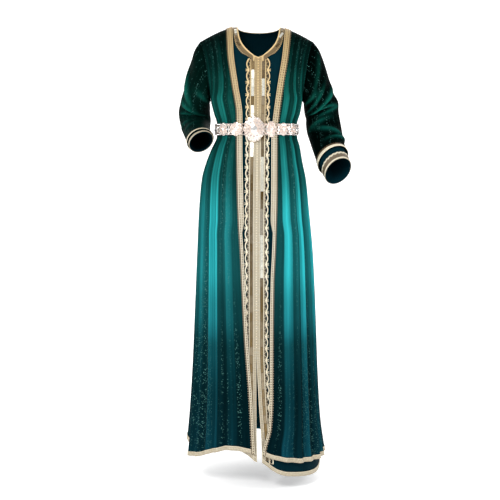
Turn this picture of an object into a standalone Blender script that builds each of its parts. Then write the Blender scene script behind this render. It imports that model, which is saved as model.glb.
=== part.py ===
"""A long two-layer silk kaftan with its jewelled belt, as it hangs when it is worn.

Units are metres. +Z is up and the front faces -Y. The origin is the middle of the
neck opening at the height of the shoulders beside the neck. "Right" and "left" are
the wearer's, so right is -X. "drop" is the distance down from the shoulder line.

Each cloth panel is a wall lofted through sections of one body surface: half a
superellipse in front and half behind, whose width and depth follow the BODY table.
The over-kaftan adds folds that only stand outwards, so it always clears the
under-kaftan, which is the same surface moved in.
"""

import math

import bmesh
import bpy
from mathutils import Vector

# Walls and gaps
SILK = 0.0012
BRAID = 0.0012
SEAM = 0.0003
LIFT = 0.0004

# Body surface
ROUNDNESS = 2.3
SHOULDER_START = 0.072
SHOULDER_SPAN = 0.113
SHOULDER_FALL = 0.048
SHOULDER_CURVE = 1.4
YOKE_DROP = 0.24
# Steps of angle and drop over which the surface's slope is read
ANGLE_STEP = 0.01
DROP_STEP = 0.001

# Widths of the braids
GALLOON = 0.0120
SECOND_BRAID = 0.0082
HEM_BRAID = 0.0150
SECOND_BRAID_END = 0.62
STEP_LENGTH = 0.06

# Columns: drop, right half width, left half width, front depth, back depth,
# share of the depth at which the armhole edge lies
BODY = (
    (0.000, 0.185, 0.185, 0.000, 0.000, 0.50),
    (0.005, 0.183, 0.183, 0.020, 0.020, 0.50),
    (0.018, 0.179, 0.179, 0.044, 0.042, 0.53),
    (0.042, 0.174, 0.174, 0.068, 0.060, 0.57),
    (0.075, 0.168, 0.168, 0.090, 0.075, 0.60),
    (0.120, 0.162, 0.162, 0.110, 0.088, 0.60),
    (0.165, 0.157, 0.157, 0.121, 0.096, 0.50),
    (0.208, 0.153, 0.153, 0.124, 0.098, 0.28),
    (0.240, 0.150, 0.150, 0.122, 0.097, 0.00),
    (0.280, 0.140, 0.143, 0.113, 0.092, 0.00),
    (0.315, 0.131, 0.134, 0.106, 0.089, 0.00),
    (0.357, 0.131, 0.134, 0.106, 0.089, 0.00),
    (0.395, 0.145, 0.142, 0.113, 0.106, 0.00),
    (0.440, 0.161, 0.149, 0.122, 0.122, 0.00),
    (0.500, 0.175, 0.160, 0.131, 0.136, 0.00),
    (0.600, 0.182, 0.169, 0.139, 0.146, 0.00),
    (0.750, 0.187, 0.182, 0.148, 0.153, 0.00),
    (0.950, 0.194, 0.191, 0.158, 0.160, 0.00),
    (1.150, 0.202, 0.198, 0.168, 0.168, 0.00),
    (1.300, 0.211, 0.206, 0.178, 0.176, 0.00),
    (1.440, 0.224, 0.224, 0.190, 0.186, 0.00),
)

# Rows of every panel down to the last free one; the rest hang from the hem
ROW_DROPS = (0.0, 0.005, 0.018, 0.045, 0.085, 0.135, 0.190, 0.240,
             0.275, 0.315, 0.357, 0.400, 0.460, 0.540, 0.620, 0.680, 0.840, 1.000, 1.180)
ROWS_ABOVE_HEM = (HEM_BRAID, 0.0)
ARMHOLE_ROWS = 8

# Columns: drop, how far the under-kaftan lies inside the over-kaftan
LAYER_GAP = (
    (0.000, 0.0028),
    (0.005, 0.0034),
    (0.030, 0.0038),
    (0.120, 0.0040),
    (0.320, 0.0032),
    (0.400, 0.0050),
    (0.700, 0.0075),
    (1.500, 0.0080),
)

# Columns: drop, x of the centre front line, x of the outer edge of the galloon on
# the right front, the same on the left front
FRONT_LINES = (
    (0.000, 0.0072, -0.0986, 0.1130),
    (0.100, 0.0060, -0.0925, 0.1025),
    (0.193, 0.0050, -0.0790, 0.0874),
    (0.294, 0.0035, -0.0650, 0.0736),
    (0.350, 0.0030, -0.0655, 0.0680),
    (0.560, 0.0008, -0.0624, 0.0670),
    (0.640, 0.0000, -0.0595, 0.0652),
    (0.720, 0.0000, -0.0545, 0.0625),
    (0.830, 0.0000, -0.0495, 0.0576),
    (1.010, 0.0000, -0.0405, 0.0553),
    (1.200, 0.0000, -0.0265, 0.0550),
    (1.300, 0.0005, -0.0215, 0.0500),
    (1.385, 0.0015, -0.0175, 0.0310),
    (1.480, 0.0030, -0.0150, 0.0300),
)

# Columns: drop, how far the left front has swung from the right one at the slit
SLIT = (
    (0.000, 0.0000),
    (1.045, 0.0000),
    (1.200, 0.0060),
    (1.350, 0.0150),
    (1.480, 0.0180),
)

# Columns: share of the way from front edge to side seam, drop of the hem
OVER_HEM_RIGHT = ((0.0, 1.383), (0.2, 1.372), (0.4, 1.388), (0.65, 1.416), (0.82, 1.425), (1.0, 1.385))
OVER_HEM_LEFT = ((0.0, 1.388), (0.12, 1.404), (0.4, 1.421), (0.8, 1.428), (1.0, 1.430))
OVER_HEM_BACK = ((0.0, 1.385), (0.25, 1.415), (0.6, 1.420), (1.0, 1.430))
UNDER_HEM_RIGHT = ((0.0, 1.412), (0.08, 1.385), (0.3, 1.356), (1.0, 1.362))
UNDER_HEM_LEFT = ((0.0, 1.414), (0.14, 1.452), (0.25, 1.464), (0.7, 1.477), (1.0, 1.464))
UNDER_HEM_BACK = ((0.0, 1.362), (0.5, 1.400), (1.0, 1.464))

# Folds of the over-kaftan, a row each: where it leaves the belt, where it meets
# the hem (shares of the way from front edge to side seam), half width at the
# belt, half width at the hem, depth in the bodice, depth at the hem
FOLDS_RIGHT = (
    (0.24, 0.20, 0.060, 0.075, 0.0030, 0.008),
    (0.37, 0.35, 0.055, 0.070, 0.0040, 0.012),
    (0.50, 0.49, 0.060, 0.070, 0.0030, 0.009),
    (0.63, 0.64, 0.060, 0.080, 0.0045, 0.014),
    (0.76, 0.78, 0.060, 0.070, 0.0030, 0.022),
    (1.00, 1.00, 0.070, 0.100, 0.0010, 0.021),
)
FOLDS_LEFT = (
    (0.25, 0.22, 0.060, 0.080, 0.0035, 0.009),
    (0.38, 0.38, 0.055, 0.070, 0.0045, 0.013),
    (0.52, 0.53, 0.060, 0.080, 0.0030, 0.010),
    (0.66, 0.68, 0.060, 0.070, 0.0040, 0.015),
    (0.79, 0.82, 0.055, 0.065, 0.0030, 0.014),
    (1.00, 1.00, 0.060, 0.080, 0.0010, 0.013),
)
# The back folds, shares of the way from the right side seam to the left one
FOLDS_BACK = (
    (0.00, 0.00, 0.045, 0.050, 0.0010, 0.021),
    (0.18, 0.14, 0.045, 0.050, 0.0040, 0.016),
    (0.28, 0.26, 0.045, 0.050, 0.0030, 0.020),
    (0.39, 0.38, 0.045, 0.055, 0.0045, 0.014),
    (0.50, 0.50, 0.045, 0.050, 0.0040, 0.022),
    (0.61, 0.62, 0.045, 0.055, 0.0040, 0.015),
    (0.72, 0.74, 0.045, 0.050, 0.0030, 0.021),
    (0.82, 0.86, 0.045, 0.050, 0.0040, 0.015),
    (1.00, 1.00, 0.045, 0.050, 0.0010, 0.013),
)
FOLD_END_DROP = 1.44
# Columns: drop, share of a fold's bodice depth, share of its hem depth
FOLD_GROWTH = (
    (0.060, 0.0, 0.00),
    (0.200, 0.7, 0.00),
    (0.275, 1.0, 0.00),
    (0.315, 0.3, 0.00),
    (0.357, 0.3, 0.00),
    (0.400, 1.0, 0.12),
    (0.520, 0.8, 0.38),
    (0.800, 0.3, 0.65),
    (1.160, 0.0, 0.85),
    (1.440, 0.0, 1.00),
)

# Neck band of the under-kaftan, in from the neck centre line. Columns: x of the
# inner edge, its drop, x of the outer edge, its drop
NECK_BAND = (
    (0.0700, 0.0000, 0.0843, 0.0000),
    (0.0698, 0.0018, 0.0842, 0.0018),
    (0.0692, 0.0050, 0.0838, 0.0050),
    (0.0683, 0.0110, 0.0831, 0.0110),
    (0.0670, 0.0200, 0.0822, 0.0210),
    (0.0640, 0.0350, 0.0790, 0.0420),
    (0.0570, 0.0550, 0.0725, 0.0660),
    (0.0475, 0.0700, 0.0630, 0.0820),
    (0.0365, 0.0825, 0.0530, 0.0930),
    (0.0240, 0.0940, 0.0450, 0.0975),
    (0.0125, 0.1030, 0.0412, 0.0988),
    (0.0125, 0.1215, 0.0375, 0.1006),
)
NECK_BACK_HALF = 0.070
NECK_BACK_DROP = 0.014
NECK_BAND_BACK = 0.0135
OVER_NECK_HALF = 0.0856
OVER_NECK_DROP = 0.030
OVER_NECK_CENTRE = 0.0072

# Column lines of an under front: distance from the centre line at the neck or
# shoulder, distance below the yoke for the trimmed ones, share of the rest
UNDER_LINES = (
    (0.0000, 0.0000, None),
    (0.0118, 0.0118, None),
    (0.0220, 0.0220, None),
    (0.0370, 0.0370, None),
    (0.0520, None, 0.18),
    (0.0640, None, 0.34),
    (0.0683, None, 0.44),
    (0.0700, None, 0.54),
    (0.1200, None, 0.77),
    (None, None, 1.00),
)
UNDER_BACK_COLUMNS = 8
TRIM_LINES = 3
BAND_ROW_DROP = 0.020
NECK_POINT_DROP = 0.108
NECK_LIFT = 0.0014
NECK_GALLOON_DROP = 0.012
# How strongly the steps of a back neck band crowd towards the shoulders
NECK_CROWDING = 0.42

UNDER_ARMHOLE_RAISE = 0.925

OVER_FRONT_COLUMNS = 22
OVER_BACK_COLUMNS = 34
EDGE_COLUMNS = 3
NECK_STEPS = 18

# Sleeve sections. Columns: x and z of the outer edge, x and z of the inner edge,
# y of the middle, forward lean in degrees, half depth
SLEEVE_RIGHT = (
    (-0.2060, -0.080, -0.1550, -0.2460, 0.006, 0, 0.068),
    (-0.2195, -0.132, -0.1570, -0.2560, 0.022, -8, 0.064),
    (-0.2360, -0.180, -0.1580, -0.2640, 0.044, -14, 0.060),
    (-0.2540, -0.232, -0.1580, -0.2740, 0.068, -14, 0.056),
    (-0.2650, -0.268, -0.1570, -0.2860, 0.088, 0, 0.053),
    (-0.2640, -0.296, -0.1560, -0.3000, 0.092, 22, 0.051),
    (-0.2580, -0.318, -0.1570, -0.3160, 0.078, 45, 0.049),
    (-0.2490, -0.340, -0.1565, -0.3300, 0.048, 60, 0.046),
    (-0.2390, -0.360, -0.1540, -0.3380, 0.010, 60, 0.044),
    (-0.2290, -0.379, -0.1490, -0.3450, -0.030, 56, 0.042),
    (-0.2220, -0.391, -0.1450, -0.3480, -0.062, 52, 0.041),
    (-0.2160, -0.400, -0.1420, -0.3510, -0.090, 50, 0.040),
)
SLEEVE_LEFT = (
    (0.2070, -0.076, 0.1560, -0.2470, 0.004, 0, 0.068),
    (0.2240, -0.118, 0.1580, -0.2560, 0.012, -6, 0.066),
    (0.2390, -0.162, 0.1600, -0.2700, 0.022, -8, 0.063),
    (0.2550, -0.208, 0.1620, -0.2850, 0.032, -6, 0.060),
    (0.2735, -0.240, 0.1660, -0.2980, 0.038, 5, 0.058),
    (0.2760, -0.276, 0.1660, -0.3160, 0.036, 15, 0.056),
    (0.2830, -0.322, 0.1690, -0.3440, 0.020, 28, 0.054),
    (0.2885, -0.366, 0.1790, -0.3780, -0.006, 38, 0.052),
    (0.2915, -0.388, 0.1910, -0.4200, -0.035, 46, 0.050),
    (0.2930, -0.400, 0.2080, -0.4700, -0.066, 52, 0.049),
    (0.3020, -0.434, 0.2270, -0.5056, -0.095, 52, 0.048),
)
# Columns: share of the way down the sleeve, how far the under sleeve lies inside
SLEEVE_INSET = ((0.0, 0.0070), (0.25, 0.0090), (0.40, 0.0140), (0.50, 0.0140), (0.65, 0.0090), (1.0, 0.0045))
# Rings over which the points of a sleeve go from their places at the armhole to even steps
SETTLING_RINGS = 6
# A sleeve's first ring shares its panel's wall direction where the two agree this well
SHARED_EDGE = 0.5
# How much longer a quad's usual diagonal may be before it is split along the other
DIAGONAL_SLACK = 1.15
CUFF_BRAID_SHARE = 0.42
UNDER_CUFF_SHARE = 0.60

# Belt
BELT_DROP = 0.335
BELT_HEIGHT = 0.040
BELT_OUT = 0.0028
BELT_STRAP = 0.0018
BELT_COLUMNS = 20
# Ornaments of the belt, a row each: name, x, half width, half height, thickness,
# number of scallops
ORNAMENTS = (
    ("belt_floret_1", -0.1060, 0.0180, 0.0210, 0.0045, 8),
    ("belt_floret_2", -0.0660, 0.0210, 0.0220, 0.0055, 8),
    ("belt_medallion", -0.0070, 0.0340, 0.0410, 0.0085, 12),
    ("belt_floret_3", 0.0480, 0.0150, 0.0270, 0.0055, 6),
    ("belt_floret_4", 0.0860, 0.0170, 0.0210, 0.0055, 8),
    ("belt_floret_5", 0.1170, 0.0130, 0.0210, 0.0045, 6),
)
# Profile of an ornament: share of its radius, share of its thickness
ORNAMENT_PROFILE = ((1.00, 0.0), (1.00, 0.45), (0.74, 0.62), (0.50, 1.0))
SCALLOP_DEPTH = 0.07

RIGHT, LEFT = -1, 1
FRONT, BACK = -1, 1


def smooth_value(table, column, at):
    """Read a column of a table at a drop or share, with a smooth curve that never overshoots."""
    last = len(table) - 1
    if at <= table[0][0]:
        return table[0][column]
    if at >= table[last][0]:
        return table[last][column]
    i = next(k for k in range(last) if table[k + 1][0] >= at)
    slopes = [(table[k + 1][column] - table[k][column]) / (table[k + 1][0] - table[k][0])
              for k in range(last)]

    def tangent(k):
        if k in (0, last):
            return slopes[0] if k == 0 else slopes[-1]
        before, after = slopes[k - 1], slopes[k]
        if before * after <= 0.0:
            return 0.0
        return 2.0 * before * after / (before + after)

    span = table[i + 1][0] - table[i][0]
    t = (at - table[i][0]) / span
    start, end = table[i][column], table[i + 1][column]
    return ((1 + 2 * t) * (1 - t) ** 2 * start + t * (1 - t) ** 2 * span * tangent(i)
            + t * t * (3 - 2 * t) * end - t * t * (1 - t) * span * tangent(i + 1))


def smooth_step(t):
    t = min(max(t, 0.0), 1.0)
    return t * t * (3.0 - 2.0 * t)


def shoulder_fall(x):
    """How far the shoulder line has fallen at a distance from the centre."""
    t = max(0.0, abs(x) - SHOULDER_START) / SHOULDER_SPAN
    return SHOULDER_FALL * t ** SHOULDER_CURVE


def half_width(side, drop):
    """Width of the whole superellipse, so that it passes through the armhole edge."""
    edge = smooth_value(BODY, 1 if side == RIGHT else 2, drop)
    share = smooth_value(BODY, 5, drop)
    return edge / (1.0 - share ** ROUNDNESS) ** (1.0 / ROUNDNESS)


def edge_angle(side, drop):
    """Angle at which a panel ends: the armhole edge, or the side seam below it."""
    share = smooth_value(BODY, 5, drop)
    return math.acos(share ** (ROUNDNESS / 2.0))


def angle_of_x(side, x, drop):
    across = min(abs(x) / half_width(side, drop), 1.0)
    return math.asin(across ** (ROUNDNESS / 2.0))


def base_point(side, face, angle, drop):
    """A point of the bare body surface; angle 0 is the centre and a right angle the side."""
    depth = smooth_value(BODY, 3 if face == FRONT else 4, drop)
    power = 2.0 / ROUNDNESS
    x = side * half_width(side, drop) * math.sin(angle) ** power
    y = face * depth * max(math.cos(angle), 0.0) ** power
    z = -drop - shoulder_fall(x) * (1.0 - smooth_step(drop / YOKE_DROP))
    return Vector((x, y, z))


def base_normal(side, face, angle, drop):
    before = base_point(side, face, max(angle - ANGLE_STEP, 0.0), drop)
    after = base_point(side, face, min(angle + ANGLE_STEP, math.pi / 2.0), drop)
    above = base_point(side, face, angle, max(drop - DROP_STEP, 0.0))
    below = base_point(side, face, angle, drop + DROP_STEP)
    normal = (after - before).cross(below - above).normalized()
    return normal if side * face > 0 else -normal


def surface(side, face, angle, drop, out):
    """A point moved out from the body surface."""
    if drop < 1e-6:
        return base_point(side, face, angle, drop) + Vector((0.0, 0.0, out))
    return base_point(side, face, angle, drop) + out * base_normal(side, face, angle, drop)


def front_line(side, drop):
    """X of the free front edge of the over-kaftan."""
    outer = smooth_value(FRONT_LINES, 2 if side == RIGHT else 3, drop)
    both = GALLOON + SECOND_BRAID * (1.0 - smooth_step((drop - SECOND_BRAID_END) / STEP_LENGTH))
    return outer - side * both


def centre_line(side, drop):
    slit = smooth_value(SLIT, 1, drop) if side == LEFT else 0.0
    return smooth_value(FRONT_LINES, 1, drop) + slit + side * 0.5 * SEAM


def under_gap(drop):
    return -smooth_value(LAYER_GAP, 1, drop)


def fold_out(folds, share, drop):
    """How far the folds of a panel stand out at a place on it."""
    out = 0.0
    fall = smooth_step((drop - BELT_DROP) / (FOLD_END_DROP - BELT_DROP))
    for at_belt, at_hem, width_belt, width_hem, bodice, hem in folds:
        middle = at_belt + (at_hem - at_belt) * fall
        width = width_belt + (width_hem - width_belt) * fall
        away = abs(share - middle) / width
        if away < 1.0:
            depth = bodice * smooth_value(FOLD_GROWTH, 1, drop) + hem * smooth_value(FOLD_GROWTH, 2, drop)
            out += depth * math.cos(away * math.pi / 2.0) ** 2
    return out


def row_drops(hem):
    return list(ROW_DROPS) + [hem - above for above in ROWS_ABOVE_HEM]


def seam_shift(point, face):
    """Keep front and back half a seam gap away from the line where they meet."""
    return point + Vector((0.0, face * 0.5 * SEAM, 0.0)) if abs(point.y) < 0.5 * SEAM else point


def over_front_points(side):
    """Rows of points of one open front, from its free edge to the side seam."""
    folds, hem_table = (FOLDS_RIGHT, OVER_HEM_RIGHT) if side == RIGHT else (FOLDS_LEFT, OVER_HEM_LEFT)
    columns = OVER_FRONT_COLUMNS
    rows = []
    for row in range(len(ROW_DROPS) + len(ROWS_ABOVE_HEM)):
        points = []
        for column in range(columns + 1):
            share = column / columns
            drop = row_drops(smooth_value(hem_table, 1, share))[row]
            first = angle_of_x(side, front_line(side, drop), drop)
            last = edge_angle(side, drop)
            angle = first + (last - first) * share
            out = fold_out(folds, share, drop)
            points.append(seam_shift(surface(side, FRONT, angle, drop, out), FRONT))
        rows.append(points)
    return rows


def neck_scoop(x, half, depth, centre):
    """Drop of a back neck edge, half an oval."""
    across = (x - centre) / half
    return depth * max(0.0, 1.0 - across * across) ** 0.5


def over_back_points():
    """Rows of points of the over-kaftan's back, from the right side seam to the left one."""
    columns = OVER_BACK_COLUMNS
    rows = []
    for row in range(len(ROW_DROPS) + len(ROWS_ABOVE_HEM)):
        points = []
        for column in range(columns + 1):
            share = column / columns
            side = RIGHT if share < 0.5 else LEFT
            free = row_drops(smooth_value(OVER_HEM_BACK, 1, share))[row]
            angle = edge_angle(side, free) * abs(2.0 * share - 1.0)
            x = base_point(side, BACK, angle, free).x
            drop = free
            if free < YOKE_DROP:
                scoop = neck_scoop(x, OVER_NECK_HALF, OVER_NECK_DROP, OVER_NECK_CENTRE)
                drop = scoop + free * (1.0 - scoop / YOKE_DROP)
                angle = angle_of_x(side, x, drop)
            out = fold_out(FOLDS_BACK, share, drop)
            points.append(seam_shift(surface(side, BACK, angle, drop, out), BACK))
        rows.append(points)
    return rows


def under_back_points():
    """Rows of points of the under-kaftan's back, which rises higher at the neck."""
    columns = UNDER_BACK_COLUMNS
    rows = []
    for row in range(len(ROW_DROPS) + len(ROWS_ABOVE_HEM)):
        points = []
        for column in range(columns + 1):
            share = column / columns
            side = RIGHT if share < 0.5 else LEFT
            free = row_drops(smooth_value(UNDER_HEM_BACK, 1, share))[row]
            drop = free * UNDER_ARMHOLE_RAISE if row < ARMHOLE_ROWS else free
            angle = edge_angle(side, free) * abs(2.0 * share - 1.0)
            x = base_point(side, BACK, angle, drop).x
            if free < YOKE_DROP:
                neck = (NECK_BACK_HALF, NECK_BACK_DROP) if row == 0 else (OVER_NECK_HALF, OVER_NECK_DROP)
                scoop = neck_scoop(x, *neck, OVER_NECK_CENTRE)
                drop = scoop + drop * (1.0 - scoop / YOKE_DROP)
                angle = angle_of_x(side, x, drop)
            points.append(seam_shift(surface(side, BACK, angle, drop, under_gap(drop)), BACK))
        rows.append(points)
    return rows


def under_line_angle(side, line, free, drop):
    """Angle of a column line of an under front; below zero it lies past the centre."""
    at_neck, fixed, share = UNDER_LINES[line]
    centre = centre_line(side, drop)
    last = edge_angle(side, free)
    if fixed is not None:
        x = centre + side * fixed
        return angle_of_x(side, x, drop) * (1.0 if x * side > 0 else -1.0)
    if at_neck is None:
        return last
    first = angle_of_x(side, centre + side * UNDER_LINES[TRIM_LINES][1], drop)
    low = first + (last - first) * share
    high = angle_of_x(side, centre + side * at_neck, drop)
    return high + (low - high) * smooth_step(drop / YOKE_DROP)


def neck_drop(x):
    """Drop of the under-kaftan's neck edge at a distance from its centre line."""
    edge = sorted((row[0], row[1]) for row in NECK_BAND[:-1])
    if x >= edge[-1][0]:
        return 0.0
    return smooth_value([(0.0, NECK_POINT_DROP)] + edge, 1, x)


def under_front_points(side):
    """Rows of points of one under front, from the centre line to the side seam."""
    hem_table = UNDER_HEM_RIGHT if side == RIGHT else UNDER_HEM_LEFT
    last_line = len(UNDER_LINES) - 1
    rows = []
    for row in range(len(ROW_DROPS) + len(ROWS_ABOVE_HEM)):
        points = []
        for line in range(last_line + 1):
            hem = smooth_value(hem_table, 1, line / last_line)
            free = row_drops(hem)[row]
            at_neck = UNDER_LINES[line][0]
            start = neck_drop(at_neck) if at_neck is not None else 0.0
            drop = free
            if row == 0:
                drop = start
            elif row < ARMHOLE_ROWS:
                low = YOKE_DROP * UNDER_ARMHOLE_RAISE
                band = ROW_DROPS[1] + (BAND_ROW_DROP - ROW_DROPS[1]) * min(1.0, start / BAND_ROW_DROP)
                reach = (free - ROW_DROPS[1]) / (YOKE_DROP - ROW_DROPS[1])
                drop = start + band + (low - start - band) * reach
            angle = under_line_angle(side, line, free, drop)
            reach_side = side if angle >= 0.0 else -side
            out = under_gap(drop)
            points.append(seam_shift(surface(reach_side, FRONT, abs(angle), drop, out), FRONT))
        rows.append(points)
    return rows


def armhole_angles(armhole):
    """How far round its armhole each point lies: down the front, then up the back."""
    top = max(point.z for point in armhole)
    bottom = min(point.z for point in armhole)
    angles = []
    for number, point in enumerate(armhole):
        height = (2.0 * point.z - top - bottom) / (top - bottom)
        angle = math.acos(min(max(height, -1.0), 1.0))
        angles.append(angle if number < ARMHOLE_ROWS else 2.0 * math.pi - angle)
    return angles


def sleeve_rings(table, armhole, side, inset_table, columns):
    """Rings of points of a sleeve: its armhole, then ovals along the arm."""
    rings = [[point + Vector((side * SEAM, 0.0, 0.0)) for point in armhole]]
    own_angles = armhole_angles(armhole)
    for number, (outer_x, outer_z, inner_x, inner_z, y, lean, half_depth) in enumerate(table):
        inset = smooth_value(inset_table, 1, number / (len(table) - 1)) if inset_table else 0.0
        outer = Vector((outer_x, y, outer_z))
        inner = Vector((inner_x, y, inner_z))
        middle = (outer + inner) / 2.0
        up = (outer - inner).normalized()
        reach = (outer - inner).length / 2.0 - inset
        along = Vector((-up.z, 0.0, up.x)) * (-side)
        lean = math.radians(lean)
        forward = Vector((0.0, -math.cos(lean), 0.0)) - along * math.sin(lean)
        ring = []
        settled = smooth_step(number / SETTLING_RINGS)
        for column in range(columns):
            even = 2.0 * math.pi * column / columns
            angle = own_angles[column] + (even - own_angles[column]) * settled
            ring.append(middle + up * reach * math.cos(angle)
                        + forward * (half_depth - inset) * math.sin(angle))
        rings.append(ring)
    return rings


def armhole_loop(front_rows, back_rows, side):
    """The armhole edge of rows of points or directions: down the front, then up the back."""
    front = [row[-1] for row in front_rows[:ARMHOLE_ROWS]]
    back = [row[0 if side == RIGHT else -1] for row in back_rows[:ARMHOLE_ROWS]]
    return front + back[1:-1][::-1]


def wall_directions(rows, closed):
    """Unit vectors through the wall at each point of a lofted sheet, looking outwards."""
    count = len(rows[0])
    facing = 0.0
    directions = []
    for r, row in enumerate(rows):
        above, below = rows[max(r - 1, 0)], rows[min(r + 1, len(rows) - 1)]
        middle = sum(row, Vector()) / count if closed else Vector((0.0, 0.0, row[0].z - SILK))
        line = []
        for c, point in enumerate(row):
            before = row[(c - 1) % count] if closed else row[max(c - 1, 0)]
            after = row[(c + 1) % count] if closed else row[min(c + 1, count - 1)]
            normal = (after - before).cross(below[c] - above[c]).normalized()
            if abs(point.y) < SEAM:
                normal.y = 0.0
                normal.normalize()
            facing += normal.dot(point - middle)
            line.append(normal)
        directions.append(line)
    sign = 1.0 if facing > 0.0 else -1.0
    return [[sign * normal for normal in line] for line in directions]


def sheet(name, rows, wall, material, closed=False, ways=None):
    """A closed wall lofted through rows of points of its outer side.

    Both sides are split along the same diagonals, so that the wall keeps its thickness
    where a fold twists it. Directions through the wall may be given.
    """
    ways = ways or wall_directions(rows, closed)
    bm = bmesh.new()
    outer = [[bm.verts.new(point) for point in row] for row in rows]
    inner = [[bm.verts.new(point - wall * way) for point, way in zip(row, row_ways)]
             for row, row_ways in zip(rows, ways)]
    last_row, count = len(rows) - 1, len(rows[0])
    columns = count if closed else count - 1

    def quad(a, b, c, d):
        bm.faces.new((a, b, c))
        bm.faces.new((a, c, d))

    def both_walls(r, c, beside):
        corners = ((r, c), (r + 1, c), (r + 1, beside), (r, beside))
        a, b, d, e = (rows[k][j] for k, j in corners)
        turn = 1 if (a - d).length > DIAGONAL_SLACK * (b - e).length else 0
        corners = corners[turn:] + corners[:turn]
        quad(*(outer[k][j] for k, j in corners))
        first, second, third, fourth = (inner[k][j] for k, j in corners)
        bm.faces.new((third, second, first))
        bm.faces.new((fourth, third, first))

    for r in range(last_row):
        for c in range(columns):
            beside = (c + 1) % count
            both_walls(r, c, beside)
    for c in range(columns):
        beside = (c + 1) % count
        quad(outer[0][beside], inner[0][beside], inner[0][c], outer[0][c])
        quad(outer[last_row][c], inner[last_row][c], inner[last_row][beside], outer[last_row][beside])
    if not closed:
        for r in range(last_row):
            quad(outer[r][0], inner[r][0], inner[r + 1][0], outer[r + 1][0])
            quad(outer[r + 1][-1], inner[r + 1][-1], inner[r][-1], outer[r][-1])
    bmesh.ops.recalc_face_normals(bm, faces=bm.faces)
    return object_from(name, bm, material)


def braid_on(name, panel, rows, lines, material, closed=False):
    """A braid lying on some rows and column lines of a panel, made from its points."""
    points, ways = panel
    ways = [line[lines] for line in ways[rows]]
    base = [line[lines] for line in points[rows]]
    raised = [[point + (LIFT + BRAID) * way for point, way in zip(line, line_ways)]
              for line, line_ways in zip(base, ways)]
    if not closed:
        raised = parted(raised)
    return sheet(name, raised, BRAID, material, closed, ways)


def parted(rows):
    """Draw a braid's two long edges in a little, so that braids side by side don't touch."""
    drawn = []
    for row in rows:
        first = row[0] + (row[1] - row[0]).normalized() * SEAM
        last = row[-1] + (row[-2] - row[-1]).normalized() * SEAM
        drawn.append([first] + row[1:-1] + [last])
    return drawn


def object_from(name, bm, material):
    mesh = bpy.data.meshes.new(name)
    bm.to_mesh(mesh)
    bm.free()
    piece = bpy.data.objects.new(name, mesh)
    piece.data.materials.append(material)
    bpy.data.collections["silk_kaftan"].objects.link(piece)
    return piece


def braid_point(side, face, x, drop, out):
    """A point of a braid over the body surface, and the direction through it."""
    angle = angle_of_x(side, x, drop)
    point = seam_shift(surface(side, face, angle, drop, out), face)
    normal = base_normal(side, face, angle, drop)
    if abs(point.y) < SEAM:
        normal.y = 0.0
        normal.normalize()
    return point, normal


def split_pairs(rows):
    """Rows of points and rows of directions from rows of pairs of both."""
    return [[pair[0] for pair in row] for row in rows], [[pair[1] for pair in row] for row in rows]


def over_strip(side, start, width, stop_row):
    """A braid on an open front, between two distances from its free edge."""
    hem_table = OVER_HEM_RIGHT if side == RIGHT else OVER_HEM_LEFT
    drops = row_drops(smooth_value(hem_table, 1, 0.0))
    rows = []
    for drop in drops[:stop_row]:
        edge = front_line(side, drop) + side * start(drop)
        rows.append([braid_point(side, FRONT, x, drop, 2.0 * LIFT + BRAID)
                     for x in (edge, edge + side * width)])
    return split_pairs(rows)


def neck_band_points(side):
    rows = []
    for inner_x, inner_drop, outer_x, outer_drop in NECK_BAND:
        row = []
        for x, drop in ((inner_x, inner_drop), (outer_x, outer_drop)):
            place = centre_line(side, drop) + side * x
            row.append(braid_point(side, FRONT, place, drop, under_gap(drop) + NECK_LIFT + BRAID))
        rows.append(row)
    return split_pairs(rows)


def neck_back_points(half, depth, wider_half, wider_depth, layer_out):
    """A band round the back of a neck, from the right shoulder to the left one."""
    rows = []
    for step in range(NECK_STEPS + 1):
        share = step / NECK_STEPS
        turn = math.pi * share - NECK_CROWDING * math.sin(2.0 * math.pi * share)
        row = []
        for reach, fall in ((half, depth), (wider_half, wider_depth)):
            x = OVER_NECK_CENTRE - reach * math.cos(turn)
            drop = fall * math.sin(turn)
            side = LEFT if x > 0 else RIGHT
            row.append(braid_point(side, BACK, x, drop, layer_out(drop) + NECK_LIFT + BRAID))
        rows.append(row)
    return split_pairs(rows)


def belt_points(columns):
    """Two rings round the waist, the upper and lower edge of the belt's strap."""
    rows = []
    for height in (-0.5 * BELT_HEIGHT, 0.5 * BELT_HEIGHT):
        ring = []
        for column in range(2 * columns):
            turn = 2.0 * math.pi * column / (2 * columns)
            side = RIGHT if math.sin(turn) < 0 else LEFT
            face = FRONT if math.cos(turn) >= 0 else BACK
            angle = math.asin(min(1.0, abs(math.sin(turn))))
            point = base_point(side, face, angle, BELT_DROP)
            normal = base_normal(side, face, angle, BELT_DROP)
            normal.z = 0.0
            point += normal.normalized() * (BELT_OUT + BELT_STRAP)
            point.z = -BELT_DROP - height
            ring.append(point)
        rows.append(ring)
    return rows


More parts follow.
